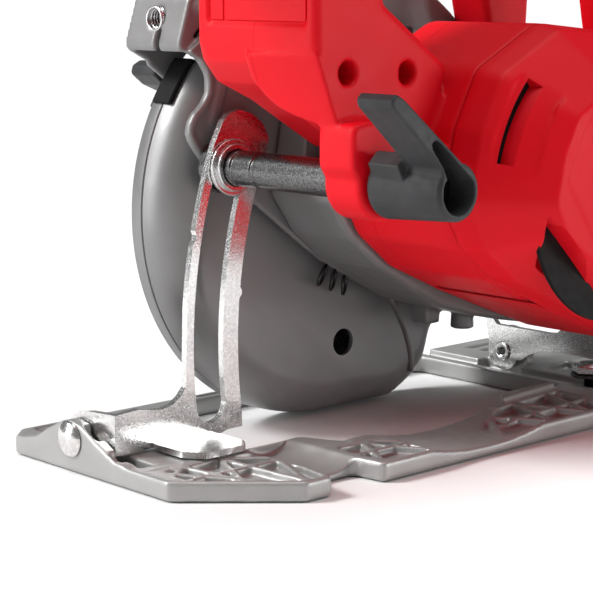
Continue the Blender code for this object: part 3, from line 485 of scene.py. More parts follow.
def shoe():
    outline = [
        (0, -60.6), (38.4, -95.7), (51.8, -95.7), (53.5, -80.5), (77.0, -80.5), (78.8, -95.7),
        (282, -95.7), (311.7, -72), (311.7, 35), (298, 46.7), (8, 46), (0, 38),
    ]
    plate = crowned("Z", rounded(outline, 2.5, 3), [(0, 0.8), (0.8, 0), (7.2, 0), (8, 0.8)])
    hump = [
        (38.0, 3), (38.0, 7.3), (24.3, 10), (14.4, 15.7), (6, 19.6), (1.3, 20.8), (-4, 20.2),
        (-7.9, 19), (-16, 14.5), (-27.3, 9.4), (-37.6, 7.9), (-60, 7.6), (-60, 3),
    ]
    ear = [(12, 4), *around(BEVEL_AXIS, 12, 0, 180, 24), (-12, 4)]
    window = rounded(
        [
            (38, -42), (84, -42), (92, -60), (188, -61), (196, -52), (239, -52), (239, 38.5),
            (92, 38.5), (87, 32), (38, 32),
        ],
        5, 5,
    )
    rails = [
        block((6, 52), (-44.5, -42.2), (5, 8.3)),
        slab("Z", [(180, -56), (186, -60.2), (230, -55.6), (230, -52.2), (196, -52.4), (188, -57)], 5, 10.6),
        block((92, 176), (-64.5, -61.2), (5, 9.0)),
    ]
    # (centre, radius, low y, high y, steps) of the two dips in the right side's top edge.
    rear_dip = ((65.5, 21.2), 18.2, -120, -42.5, 96)
    long_dip = ((141.0, 162.3), 158.0, -120, -55, 320)
    cuts = [
        slab("Z", window, -5, 30),
        block((5.6, 12.8), (-38, 14), (2.0, 30)),
        block((252.5, 261.9), (-13, 13), (2.2, 30)),
        block((267.3, 271), (-9, 9), (6, 30)),
        rod("Y", *rear_dip),
        rod("Y", *long_dip),
        block((244.5, 255.4), (-100, 60), (4.4, 12)),
        rod("Z", FENCE_AXIS, 4.3, 1.6, 30, 32),
        rod("X", BEVEL_AXIS, 3.6, -8, 12, 24),
        rod("X", BEVEL_AXIS, 3.6, 255, 275, 24),
        slab("X", [(-7, 15.4), (-6.6, 19.8), (-14.6, 15.6), (-14.6, 11.4)], 1.6, 8),
        slab("X", [(-22.5, 8.6), (-22.5, 12.2), (-29, 10), (-29, 7)], 1.6, 8),
    ]
    floor = 4.4
    rear_pocket = [(7.5, -47.5), (47, -47), (55, -47.5), (52.4, -76), (49.6, -93), (39.4, -92.8), (7.5, -64)]
    mid_pocket = [(81.5, -66), (101, -68), (110, -76), (110, -92.8), (82.5, -92.8)]
    right_pocket = [(150, -92), (153, -78), (183, -63.5), (228, -59), (226, -76), (214, -92.6), (176, -92.8)]
    front_pocket = [(262, -91), (282, -91), (307, -71), (307, -20), (262, -20)]
    left_pocket = [(100, 41), (236, 41), (236, 44), (100, 44)]
    rear_left = [(12, 36), (12, 14.5), (34.5, 14.5), (34.5, 36), (34.5, 43), (12, 43)]
    for pocket, radius in (
        (rear_pocket, 3), (mid_pocket, 3), (right_pocket, 3), (front_pocket, 4),
        (left_pocket, 1.2), (rear_left, 3),
    ):
        cuts.append(slab("Z", rounded(pocket, radius, 4), floor, 30))
    for low in (6, 15, 24, 33):
        lane = [(272, low), (304, low + 1), (304, low + 5.4), (272, low + 4.4)]
        cuts.append(slab("Z", rounded(lane, 1.6, 3), 3.0, 30))
    base = cast("shoe_casting", plate, [slab("X", hump, 0, 5.6), slab("X", ear, 261.4, 267.4), *rails], cuts)
    webs = (
        ((6, -56), (20, -46)), ((20, -46), (23, -77)), ((23, -77), (38, -46)), ((38, -46), (41, -93)),
        ((41, -93), (54, -62)), ((6, -63), (56, -63)), ((38, -46), (56, -60)), ((6, -46), (30, -84)),
        ((152, -92), (170, -70)), ((170, -70), (182, -93)), ((182, -93), (196, -62)),
        ((196, -62), (208, -93)), ((208, -93), (220, -60)), ((160, -81), (228, -77)),
        ((82, -93), (96, -67)), ((96, -67), (110, -93)), ((82, -78), (110, -78)),
        ((262, -90), (284, -20)), ((284, -20), (306, -72)), ((262, -48), (306, -48)),
    )
    ribs = []
    for ends in webs:
        a, b = [Vector(end) for end in ends]
        along = (b - a).normalized()
        side = Vector((-along.y, along.x)) * 1.2
        ribs.append(slab("Z", [a + side, b + side, b - side, a - side], 3, 7.9))
    room = [rod("Y", *rear_dip), rod("Y", *long_dip), slab("Z", window, -5, 30)]
    combine(base, ribs, room, "MANIFOLD")
    melt(base, 0.85, 4)
    show(base, "base", "shoe_grey", "shoe")
    rivet = [
        (0, -3.1), (2.4, -3.0), (4.6, -2.5), (6.4, -1.6), (7.3, -0.7), (7.4, -0.3), (3.2, -0.3),
        (3.2, 9.6), (5.4, 9.6), (4.6, 11.2), (0, 11.2),
    ]
    pin = trim(thing("rear_hinge_rivet", turned("X", BEVEL_AXIS, rivet, 48)), 0.25)
    show(pin, "base", "zinc", "rear_bevel_pin")
    eyelet = [
        (1.9, 257.6), (2.6, 257.0), (3.6, 256.8), (4.4, 257.0), (4.8, 257.6), (3.2, 257.7), (3.2, 267.7),
        (5.4, 267.7), (4.6, 269.3), (1.9, 269.3),
    ]
    pin = trim(thing("front_hinge_eyelet", turned("X", BEVEL_AXIS, eyelet, 48)), 0.15, 2)
    show(pin, "base", "steel", "front_bevel_pin")


def fence_screw():
    at = FENCE_AXIS
    nut = crowned("Z", ring(at, 8.6, 6), [(13.2, 0.6), (13.8, 0), (16.4, 0), (17.0, 0.6)])
    dome = turned("Z", at, [(0, 17.8), (5.2, 17.8), (6.2, 16.6), (6.2, 13), (0, 13)], 40)
    show(trim(shape("fence_thumb_nut", nut, [dome]), 0.35), "fence_screw", "steel", "fence_screw")
    washer = turned("Z", at, [(3.2, 11.6), (8.8, 11.6), (9.0, 12.1), (8.8, 13.0), (3.2, 13.0)], 48)
    show(trim(thing("fence_washer", washer), 0.2), "fence_screw", "black_steel")
    groove = []
    for i in range(24):
        groove += [(3.0, 3.2 + i * 0.36), (2.6, 3.38 + i * 0.36)]
    stud = turned("Z", at, [(0, 3.0), *groove, (3.0, 11.9), (0, 11.9)], 32)
    show(thing("fence_stud", stud), "fence_screw", "black_steel")


# ---- bevel frame


def rear_depth_bracket():
    near, far = -21.0, -18.0
    outline = [
        (6.3, 25), (6.3, 9), (14, 8.6), (26, 9.4), (38, 8.5), (50, 8.8), (57, 8.4), (64, 10.4), (71.6, 10.4),
        *swing(198.5, -7.4, 5.5, 22), *swing(197.4, 5.9, 6.4, 2), *swing(198.5, 6.8, 22.5, 26),
        (86.6, 125), (86.4, 129), (83.6, 134), (78, 138.2), (70.6, 140.3), (66, 139), (62.6, 136.4),
        *swing(225.7, 21.4, 12.4, 18), *swing(224.7, 12.0, 11.4, 2), *swing(225.7, 11.0, 4.4, 12),
        (42.0, 31.0), (39, 27.6), (35, 25), (30, 24), (24, 24.6), (18, 25.8), (12, 25.4),
    ]
    low_end, high_end = ROD_ANGLE - 25.9, ROD_ANGLE + 0.3
    half = 7.7
    slot = swing(SLOT_RADIUS + half, low_end, high_end, 40)
    slot += around(behind_pivot(SLOT_RADIUS, high_end), half, 180 - high_end, -high_end, 20)[1:-1]
    slot += swing(SLOT_RADIUS - half, high_end, low_end, 40)
    slot += around(behind_pivot(SLOT_RADIUS, low_end), half, -low_end, -180 - low_end, 20)[1:-1]
    ear = [(far, 25), (near, 25), (near, 9), (-13, 8.4), *around(BEVEL_AXIS, 10, 215, 430, 30), (-4, 24)]
    tab = rounded([(24, near + 1), (24, -40), (30, -48), (50, -48), (54, -42), (54, near + 1)], 4, 4)
    tip = [(-36, 9.0), (-46, 9.6), (-47.9, 10.6), (-47.9, 11.4), (-46, 11.4), (-36, 11.4)]
    bracket = shape(
        "rear_depth_plate",
        slab("Y", outline, near, far),
        [slab("X", ear, 6.3, 9.3), slab("Z", tab, 8.9, 11.4), slab("X", tip, 31, 49)],
        [slab("Y", slot, near - 5, far + 5), rod("X", BEVEL_AXIS, 3.6, 0, 14, 32)],
    )
    show(trim(bracket, 0.4, 3), "bevel_frame", "zinc", "rear_depth_bracket")


def front_bevel_bracket():
    outline = [
        (12, 58), (12, 31), *around(BEVEL_AXIS, 9.2, 20, -160, 24), (-12, 10.6), (-16.7, 13.8),
        (-23.8, 16.5), (-37.7, 17.8), (-46.3, 17.7), (-58, 17.2), (-60, 34), (-54, 37), (-40, 38), (-40, 58),
        (-37, 58), (-37, 30), (-33, 26.5), (-27, 26), (4, 26), (9, 31), (9, 58),
    ]
    adds = []
    cuts = []
    for low, high in ((9.0, 12.0), (-40.0, -37.0)):
        ear = [(258, 32), (258, 58), (272, 58), *around(DEPTH_AXIS, 13, 60, -60, 24), (262, 32)]
        adds.append(slab("Y", ear, low, high))
        cuts.append(rod("Y", DEPTH_AXIS, 5.4, low - 2, high + 2, 32))
    adds.append(slab("Y", [(262, 20), (285, 20), (285, 35), (262, 40)], -40, -37))
    adds.append(slab("X", [(-37, 20), (-37, 35), (-56, 35), (-58, 28), (-56, 20)], 282, 285))
    cuts += [rod("X", BEVEL_AXIS, 3.6, 250, 270, 32), rod("X", BEVEL_BOLT, 3.4, 279, 288, 32)]
    bracket = shape("front_cross_plate", slab("X", outline, 258, 261), adds, cuts)
    show(trim(bracket, 0.35, 3), "bevel_frame", "zinc", "front_bevel_bracket")


# ---- depth lock


def depth_lock():
    x, z = ROD_AXIS
    shank = [
        (0, -116), (6.6, -116), (7.2, -115.4), (7.2, -42), (6.6, -41.4), (6.6, -39.8), (7.2, -39.2),
        (7.2, -29.4), (6.5, -28.8), (6.5, -28.0), (7.2, -27.4), (7.2, -17.6), (11, -17.6), (11, -13.6),
        (10.4, -13.0), (0, -13.0),
    ]
    bar = trim(thing("depth_lock_rod", turned("Y", ROD_AXIS, shank, 64)), 0.2, 2)
    show(bar, "saw_body", "mottled_steel", "depth_rod")
    washer = [
        (7.5, -21.3), (11.2, -21.3), (11.4, -21.5), (11.4, -22.5), (11.0, -22.9), (9.6, -22.9), (9.6, -24.4),
        (9.2, -24.8), (7.5, -24.8),
    ]
    show(
        trim(thing("depth_lock_washer", turned("Y", ROD_AXIS, washer, 64)), 0.15, 2), "saw_body", "steel",
        "rod_washer",
    )
    barrel = [(0, -144), (9.4, -144), (10.6, -143), (12.4, -111), (12.0, -109.8), (0, -109.6)]
    arm = [
        (59.4, 111), (57.4, 126.4), (33.0, 148.4), (32.0, 151.0), (34.4, 153.6), (38.6, 151.4),
        (76.4, 121.4), (73, 112),
    ]
    cavity = [
        (60.4, 122.6), (59.2, 124.8), (57.6, 127.6), (52.6, 133.6), (52.3, 135.4), (53.6, 136.6),
        (55.6, 136.2), (73.2, 121.8), *around(ROD_AXIS, 8.2, 28, -215, 40),
    ]
    lever = cast(
        "depth_lock_lever",
        turned("Y", ROD_AXIS, barrel, 64),
        [
            crowned("Y", arm, [(-144, 0.5), (-143.4, 0), (-127, 0), (-126, 0.8)], 1.6, 3),
            slab("Y", [(x - 11, z + 3), (x - 14, z + 9), (x - 9, z + 13.5), (x, z + 10)], -127, -112),
        ],
        [rod("Y", ROD_AXIS, 7.5, -118, -105, 48), slab("Y", cavity, -150, -128.5)],
    )
    melt(lever, 0.45, 3)
    show(lever, "depth_lever", "nylon", "depth_lever")
    # A black sheet at the bottom of the lever's hollow: painted shade that darkens the recess.
    floor = thing("depth_lever_cavity_painted_shade", slab("Y", inset(cavity, 0.25), -132, -128.7))
    show(floor, "depth_lever", "black")


# ---- guards and gear case


def polar(radius, angle):
    turn = radians(angle)
    return (BLADE_AXIS[0] + radius * cos(turn), BLADE_AXIS[1] + radius * sin(turn))


def arc(radius, start, end, steps):
    return around(BLADE_AXIS, radius, start, end, steps)


def lower_guard():
    back, front = 137.5, 331
    hub = arc(30, front, back + 360, 60)
    profile = [
        (-4.0, 78.4), (-3.8, 80.6), (-3.2, 83.4), (-2.1, 86.2), (-0.5, 88.6), (1.6, 90.8), (4.4, 92.7),
        (7.6, 94.0), (11.0, 94.7), (13.2, 94.9), (13.5, 94.1), (14.1, 94.1), (14.4, 94.9), (20.2, 95.0),
        (21.0, 94.4),
    ]

    def swell(angle):
        """Extra radius of the guard low at the front, down to just above the sole."""
        if not 272 < angle < 316:
            return 0
        share = min(1, (angle - 272) / 18, (316 - angle) / 12)
        share = share * share * (3 - 2 * share)
        return min(8.6 * share, (BLADE_AXIS[1] - 0.6) / abs(sin(radians(angle))) - 95)

    turns = [back + (front - back) * i / 150 for i in range(151)]
    stations = [(y, [polar(radius + swell(turn), turn) for turn in turns] + hub) for y, radius in profile]
    inner = [
        (-2.0, 76.0), (-1.6, 79.4), (-0.6, 83.0), (1.2, 86.6), (3.6, 89.8), (6.2, 92.2), (7.2, 92.6),
        (18.8, 93.2),
    ]
    guard = shape(
        "lower_guard_casting",
        loft("Y", stations),
        cut=[
            loft("Y", [(y, arc(radius, 0, 360, 180)[:-1]) for y, radius in inner]),
            rod("Y", BLADE_AXIS, 79, 18, 25, 120),
            rod("Y", BLADE_AXIS, 22.5, -8, 2, 64),
            rod("Y", (145.8, 33.3), 6, -8, 2, 40),
        ],
    )
    show(trim(guard, 0.3, 2, 40), "lower_guard", "guard_grey", "lower_guard")
    strip = sector(BLADE_AXIS, 96.4, 94.2, 138.2, 151, 12)
    edge = crowned("Y", strip, [(8.2, 0.8), (9.0, 0), (19.4, 0), (20.2, 0.8)])
    show(trim(thing("lower_guard_buffer", edge), 0.3), "lower_guard", "black")
    path = [
        (174.2, -4.1, 52.0), (176.9, -4.2, 48.0), (181.4, -4.3, 41.0), (185.3, -4.3, 33.6),
        (188.2, -4.2, 26.0), (189.5, -3.9, 19.1), (189.6, -3.2, 14.0),
    ]
    show(smooth(thing("lower_guard_ridge", swept(path, 1.5, 16))), "lower_guard", "guard_grey")


def lift_lever():
    paddle = [
        (66.4, 152.4), (67.4, 156), (71.4, 158), (77, 156.8), (84.5, 148.5), (82.4, 143.6), (72.5, 147.6),
    ]
    lever = cast(
        "guard_lift_lever",
        crowned("Y", paddle, [(27.8, 1.0), (28.6, 0), (43.4, 0), (45, 1.6)], 1.5, 3),
        [slab("Y", sector(BLADE_AXIS, 87.4, 81.6, 142, 150, 8), 21.3, 32)],
    )
    melt(lever, 0.5, 4)
    show(lever, "lower_guard", "nylon", "lift_lever")


def guard_spring():
    path = []
    for i in range(150):
        x, z = polar(25.4, 360 * 2.6 * i / 149)
        path.append((x, -8.3 + 3.0 * i / 149, z))
    show(smooth(thing("guard_return_spring", swept(path, 0.75, 12))), "saw_body", "steel", "guard_spring")


def upper_guard():
    near, far = -11.7, 27.0
    back, front = 143, -25
    profile = [
        (near, 100.6), (near + 0.6, 102.0), (near + 1.8, 102.9), (near + 3, 103), (far - 3, 103),
        (far - 1.4, 102.7), (far, 101),
    ]
    drum = loft("Y", [(y, sector(BLADE_AXIS, radius, 100, front, back, 120)) for y, radius in profile])
    rim = arc(102.5, front, back, 100)
    right = rounded(
        [
            *rim, (58.5, 159.3), (61.4, 155.4), (62.3, 152), (62.2, 147), (60, 143.2), (54.8, 138.6),
            (52.5, 135), (51.9, 131), (52.8, 128), (54.8, 125), (60.6, 118.2), (70, 110), (88, 100),
            (104, 88), (124, 73.5), (139, 65), (160, 54), (200, 46),
        ],
        2, 3,
    )
    x, z = BLADE_AXIS
    left = [*rim, (x - 30, z + 24), *arc(30, 130, -30, 30), (x + 32, z - 14)]
    bolt = (70.5, 176.5)
    lip = [polar(100.6, turn) for turn in range(40, 143, 3)]
    clamp = rounded([(50, 164), (56.6, 185), (72, 189.6), (84, 190), (84, 172), (62, 158)], 4, 5)
    bead_path = [
        (59.6, -11.4, 160.5), (62.4, -11.6, 156.4), (63.6, -11.7, 152), (63.4, -11.7, 146.6),
        (61, -11.7, 142.4), (56, -11.7, 137.8), (53.8, -11.7, 134.4), (53.2, -11.7, 131),
        (54.2, -11.7, 128.4), (56, -11.7, 126), (61.4, -11.5, 119.4),
    ]
    guard = cast(
        "upper_guard_casting",
        drum,
        [
            slab("Y", right, near, near + 3),
            slab("Y", left, far - 3, far),
            slab("Y", [(52.6, 166), (74.5, 151.7), (92, 160), (84, 186)], far - 3.2, far - 0.4),
            slab("Y", [(53.5, 163.5), (60.6, 158.8), (92, 160), (84, 186)], near + 0.2, near + 3),
            slab("Y", clamp, -8.4, 26.7),
            swept(bead_path, 1.5, 12),
            rod("Y", bolt, 5.4, -9.4, 0, 32),
            slab("Y", [(74, 168), (78, 167), (66, 132), (63, 134)], near - 0.9, near + 1),
            swept([(x, far - 0.6, z) for x, z in lip], 1.3, 10),
        ],
        [
            rod("Y", BLADE_AXIS, 22.4, near - 1, near + 4, 64),
            slab("Y", sector(BLADE_AXIS, 89.4, 79.6, 160, 33, 60), far - 3.5, far + 0.5),
            rod("X", CLAMP_AXIS, 4.4, 40, 68, 40),
            block((40, 67), (5.6, 8.2), (150, 172.6)),
            slab("Y", sector(BLADE_AXIS, 112.4, 90, 150, 128, 24), -8.2, 23.8),
            rod("Y", (68.4, 151.4), 1.0, near - 3, near + 1.4, 20),
            rod("Y", (62.4, 137.4), 1.0, near - 3, near + 1.4, 20),
            rod("Y", bolt, 2.4, -12, -8.4, 24),
        ],
    )
    melt(guard, 0.95, 3)
    show(guard, "saw_body", "upper_grey", "upper_guard")
    rings = []
    for at, radius, thick in ((53.0, 4.7, 0.6), *[(at, 4.1, 0.5) for at in (54.6, 56.0, 57.4, 58.8)]):
        path = [(at, y, z) for y, z in ring(CLAMP_AXIS, radius, 36)]
        rings.append(swept(path, thick, 10, True))
    show(smooth(thing("clamp_thread", *rings)), "saw_body", "steel")
    # Black sheets inside the drum's mouth and at the bottom of the clamp's hole: painted shade in these
    # recesses.
    mouth_shade_outline = arc(112.2, 141, 128.4, 16) + arc(103.6, 128.4, 129.6, 2) + arc(111.2, 130, 141, 14)
    dark = thing(
        "guard_mouth_painted_shade",
        slab("Y", mouth_shade_outline, -8.0, 23.6),
        rod("X", CLAMP_AXIS, 4.2, 60.5, 62.0, 32),
    )
    show(dark, "saw_body", "black")


def gear_case():
    outline = [
        (94, 104), (106, 87.5), (124, 73), (139, 64.5), (160, 53), (180, 47), (200, 42.5), (218, 39),
        (235, 36.4), (256, 36.2), *around(DEPTH_AXIS, 9.3, -95, 95, 24), (256, 56), (246, 66), (252, 100),
        (238, 145), (206, 166), (180, 170), (150, 168), (130, 164), (116, 160), (101, 140),
    ]
    hub = [(0, -16), (30, -16), (27.4, -12), (22, -10.5), (22, -1.4), (21.4, -0.8), (0, -0.8)]
    adds = [
        rod("Y", DEPTH_AXIS, 9.4, -36.7, 8.7, 48),
        turned("Y", BLADE_AXIS, hub, 80),
        slab("Y", [(176, 52), (177, 40), (185, 40), (186, 52)], -26, -16),
        turned("Z", (205.0, -21.0), [(0, 34.6), (5.4, 34.6), (4.6, 50), (0, 50)], 40),
    ]
    case = cast(
        "gear_case_casting",
        crowned("Y", rounded(outline, 6, 5), [(-50, 1.2), (-48.6, 0), (-14, 0), (-12, 2.2)]),
        adds,
        [
            rod("Y", DEPTH_AXIS, 5.35, -40, 12, 40),
            block((246, 290), (-60, -36.6), (20, 80)),
            block((80, 107.6), (-60, -30.6), (116, 180)),
            rod("Y", BLADE_AXIS, 27.3, -48.0, -32, 72),
            rod("Y", MOTOR_AXIS, 9, -52, -28, 40),
            rod("Y", BLADE_AXIS, 15.3, -34, -18, 48),
            rod("Y", BLADE_AXIS, 9.3, -20, 2, 48),
            rod("Z", SPINDLE_LOCK_AXIS, 7.4, 154, 175, 32),
        ],
    )
    melt(case, 0.9, 4)
    show(case, "saw_body", "case_grey", "gear_case")
    coils = []
    for x, z, lean in ((128.0, 66.0, 35), (134.4, 63.4, 20), (141.0, 60.8, 8)):
        tip = radians(lean)
        loop = []
        for k in range(24):
            turn = radians(360 * k / 24)
            aside, high = 2.4 * cos(turn), 4.6 * sin(turn)
            at_x = x + aside * cos(tip) + high * sin(tip)
            at_z = z - aside * sin(tip) + high * cos(tip)
            loop.append((at_x, -9.5 + 1.6 * cos(turn), at_z))
        coils.append(swept(loop, 0.8, 10, True))
    show(smooth(thing("spring_hooks", *coils)), "saw_body", "black_steel")
    # A black bar along the gap between the gear case and the guard: a painted shade line.
    line = [(111.6, -12.2, 86.0), (114.6, -12.2, 83.2), (124, -12.2, 76.2), (133.9, -12.2, 68.6)]
    show(smooth(thing("gear_case_gap_painted_shade", swept(line, 0.9, 12))), "saw_body", "black")


# ---- housing


MOTOR_OUTLINE = [
    (96, 108), (107, 89.5), (125, 75), (155, 61.5), (187, 49), (216, 38), (238, 46), (252, 72),
    (255, 105), (243, 140), (218, 164), (186, 171.5), (148, 175), (114, 158), (102, 136),
]
SCREW_SPOTS = ((56.5, 158.0), (87.5, 157.0), handle(6, 100), handle(126, 88))


def scaled(outline, share):
    x, z = MOTOR_AXIS
    return [(x + (a - x) * share, z + (b - z) * share) for a, b in outline]


def split(made, name):
    """Parts a piece at the handle's middle; its right half becomes a new object, which is returned."""
    halves = []
    for keep_left in (True, False):
        mesh = bmesh.new()
        mesh.from_mesh(made.data)
        at = HANDLE_MID + (0.06 if keep_left else -0.06)
        ends = bmesh.ops.bisect_plane(
            mesh, geom=mesh.verts[:] + mesh.edges[:] + mesh.faces[:], plane_co=(0, at * MM, 0),
            plane_no=(0, 1, 0), clear_inner=keep_left, clear_outer=not keep_left,
        )
        rim = [item for item in ends["geom_cut"] if isinstance(item, bmesh.types.BMEdge)]
        bmesh.ops.triangle_fill(mesh, edges=rim, use_beauty=True, normal=(0, -1 if keep_left else 1, 0))
        halves.append(mesh)
    left, right = halves
    left.to_mesh(made.data)
    left.free()
    other = thing(name, right)
    for half in (made, other):
        sharpen(smooth(half))
    return other


def housing():
    """The clamshell's neck, the motor barrel and the lock rod's boss, moulded as one and then parted."""
    neck = [
        (104.5, 122), (90, 130.5), (66, 144.8), (49, 152.5), (42, 161), (40, 168), (40, 205), handle(34, 12),
        handle(34, 32), handle(30, 32), handle(22, 40), handle(16, 62), handle(-14, 62), handle(-16, 8),
        (76, 183), (111.5, 158.5), (101.5, 136),
    ]
    wide = [(-98, 3.2), (-97.2, 1.2), (-95.6, 0.2), (-94, 0), (-35, 0), (-33, 0.4), (-31.8, 1.4), (-31, 3.2)]

    def rear_plane(y, z):
        return 40 - (53 * (y + 65.6) + 308 * (z - 159.4)) / 737

    shoulder = []
    for y, low in (
        (-97.9, 138.5), (-92, 138.8), (-85, 140), (-76, 142.4), (-70, 145), (-66, 148.4), (-61, 155),
    ):
        drop = 155 - low
        row = [
            (rear_plane(y, 165) + 0.6, 165), (rear_plane(y, low), low),
            (rear_plane(y, low) + 8, low - 2.5 * drop / 17), (78, 137.5 - drop * 0.9),
            (104, 119.5 - drop * 0.55), (112, 140), (96, 165),
        ]
        shoulder.append((y, row))
    round_ends = [(-108, 0.6), (-107.4, 0), (-53, 0), (-51.4, 0.6), (-50.3, 1.8)]
    boss = [
        (101, 128), (88, 139), (58, 141), (51.4, 140), (49.6, 137), (49.6, 124),
        *around(ROD_AXIS, 14, 172, 300, 24), (92, 110), (100, 108),
    ]
    chamber = [(0, -110), (49, -110), (49, -54.3), (11.4, -54.3), (11.4, -48), (0, -48)]
    lid = [(38, 174.6), (41.2, 174.6), (42.2, 178), (42.4, 203), (38, 203)]
    cuts = [
        turned("Y", MOTOR_AXIS, chamber, 96),
        rod("Y", ROD_AXIS, 7.6, -112, -84, 48),
        slab("Y", lid, -92.6, -38.0),
    ]
    pit = [(0, -100), (5.0, -100), (4.5, -96.6), (4.4, -71.5), (2.4, -71.5), (2.4, -62), (0, -62)]
    cuts += [turned("Y", place, pit, 40) for place in SCREW_SPOTS[:2]]
    # The hollow behind the control cover.
    cuts.append(slab("Y", [(44, 178), (62, 176), (70, 200), (44, 202)], -91, -38))
    adds = [
        loft("Y", shoulder),
        crowned("Y", MOTOR_OUTLINE, round_ends, 15, 8),
        crowned("Y", boss, [(-107.7, 1.0), (-106.7, 0), (-90, 0), (-88.5, 1.5)]),
    ]
    shell = cast("housing_left_neck", crowned("Y", neck, wide, 4), adds, cuts)
    melt(shell, 0.95, 6)
    other = split(shell, "housing_right_barrel")
    show(shell, "saw_body", "red", "housing_left")
    show(other, "saw_body", "red", "housing_right")


def rear_handle():
    neck = handle_all(
        [
            (26, 12), (HANDLE_END, 8), (HANDLE_END, 96), (114, 100), (110, 78), (108, 38), (100, 32),
            (30, 32), (26, 32),
        ]
    )
    post = handle_all([(16, 56), (18, 84), (14, 112), (-8, 104), (-15.6, 62), (-15, 56)])
    wide = [(-98, 4), (-97, 1.6), (-94.6, 0.2), (-93, 0), (-36, 0), (-34.4, 0.2), (-32, 1.6), (-31, 4)]
    narrow = [(-82.5, 5), (-81.4, 2.4), (-79, 0.6), (-76, 0), (-53, 0), (-50, 0.6), (-47.6, 2.4), (-46.5, 5)]
    start, end = TRIGGER_SPAN
    mouth = handle_all([(start - 0.2, 64), (end + 0.2, 64), (end + 0.2, 96.5), (start - 0.2, 96.5)])
    cuts = [across(mouth, 8.8)]
    cuts.append(rod("Y", LOCK_OFF_SPOT, 6.9, HANDLE_MID + 3.5, HANDLE_MID + 24, 32))
    cuts.append(rod("Y", HOOK_SPOT, 3.4, HANDLE_MID + 20, HANDLE_MID + 40, 24))
    for place in SCREW_SPOTS[2:]:
        cuts.append(rod("Y", place, 4.4, -110, HANDLE_MID - 7, 32))
    switch = handle_all([(69, 83), (101, 82), (101, 101), (69, 103)])
    cuts.append(across(switch, 12.4))
    loop = cast(
        "handle_left", crowned("Y", neck, wide, 7, 5),
        [crowned("Y", post, wide, 6, 5), crowned("Y", GRIP, narrow, 7, 5)], cuts,
    )
    melt(loop, 1.1, 8)
    other = split(loop, "handle_right")
    show(loop, "saw_body", "red")
    show(other, "saw_body", "red")


def control_cover():
    cover = [(41.0, 176.6), (42.6, 176.6), (42.6, 202.4), (41.0, 202.4)]
    lid = shape(
        "control_cover_lid",
        slab("Y", cover, -91.6, -39.0),
        cut=[block((40, 41.6), (-47.4, -46.2), (176, 204))],
    )
    show(trim(lid, 0.5, 3), "saw_body", "red", "control_cover")


def handle_screws():
    top = HANDLE_MID - 10.6
    steps = ((0, 0), (2.6, 0), (3.6, 0.6), (3.8, 1.4), (3.8, 3.3), (1.6, 3.3), (1.6, 21.6), (0, 21.6))
    head = [(radius, top + y) for radius, y in steps]
    for i, place in enumerate(SCREW_SPOTS):
        screw = shape(
            f"housing_screw_{i + 1}", turned("Y", place, head, 32),
            cut=[slab("Y", ring(place, 1.6, 6), top - 2, top + 1.6)],
        )
        show(trim(screw, 0.15, 2), "saw_body", "black_steel", f"handle_screw_{i + 1}")


def motor_cap():
    low = -108.3
    base = [MOTOR_OUTLINE[0], (106, 89.5), *MOTOR_OUTLINE[2:]]
    skirt = rounded(base, 12, 4)
    shell = loft(
        "Y",
        [
            (low, skirt), (-112, scaled(skirt, 0.995)), (-120, scaled(skirt, 0.965)),
            (-143.3, scaled(skirt, 0.655)),
        ],
    )
    panel = rounded(
        [
            (126.5, 117), (135.8, 136), (141.6, 141.8), (196, 139), (212, 120), (208, 88), (190, 74),
            (150, 84),
        ],
        4, 5,
    )
    vent = sector(MOTOR_AXIS, 65.4, 60.8, 135, 166.6, 24)
    crescent = around(MOTOR_AXIS, 50.6, 185, 262, 40)
    for radius, angle in ((46, 257), (40.5, 246), (37.8, 232), (37.8, 218), (41, 202), (46.5, 190)):
        crescent += around(MOTOR_AXIS, radius, angle, angle, 1)[:1]

    reaches = ((-136.6, 54.0), (-123.4, 67.2))
    hollow = [(y, sector(MOTOR_AXIS, 92, reach, 130, 169, 16)) for y, reach in reaches]
    cap = cast(
        "motor_end_cap",
        shell,
        [crowned("Y", panel, [(-143.8, 0.9), (-143.2, 0.0), (-140, 0)])],
        [
            rod("Y", MOTOR_AXIS, 46, low - 8, low + 2, 80),
            turned("Y", MOTOR_AXIS, [(0, low - 4), (46, low - 4), (34, low - 26), (0, low - 26)], 80),
            loft("Y", hollow),
        ],
    )
    boss = trim(thing("rear_bearing_seat", tube("Y", MOTOR_AXIS, 9.9, 14, low - 27, low - 9, 48)), 0.3)
    melt(cap, 0.85, 4)
    carve(cap, [slab("Y", vent, -160, -112), slab("Y", rounded(crescent, 2.0, 3), -160, -128)])
    # Black sheets set behind the vent and the crescent: painted shade that makes the slots look dark.
    black = thing(
        "cap_vent_painted_shade",
        slab("Y", inset(vent, -0.8), -123.0, -121.0),
        slab("Y", inset(crescent, -0.8), -134.0, -132.0),
    )
    show(black, "saw_body", "black")
    show(cap, "saw_body", "red", "motor_cap")
    show(boss, "saw_body", "red")


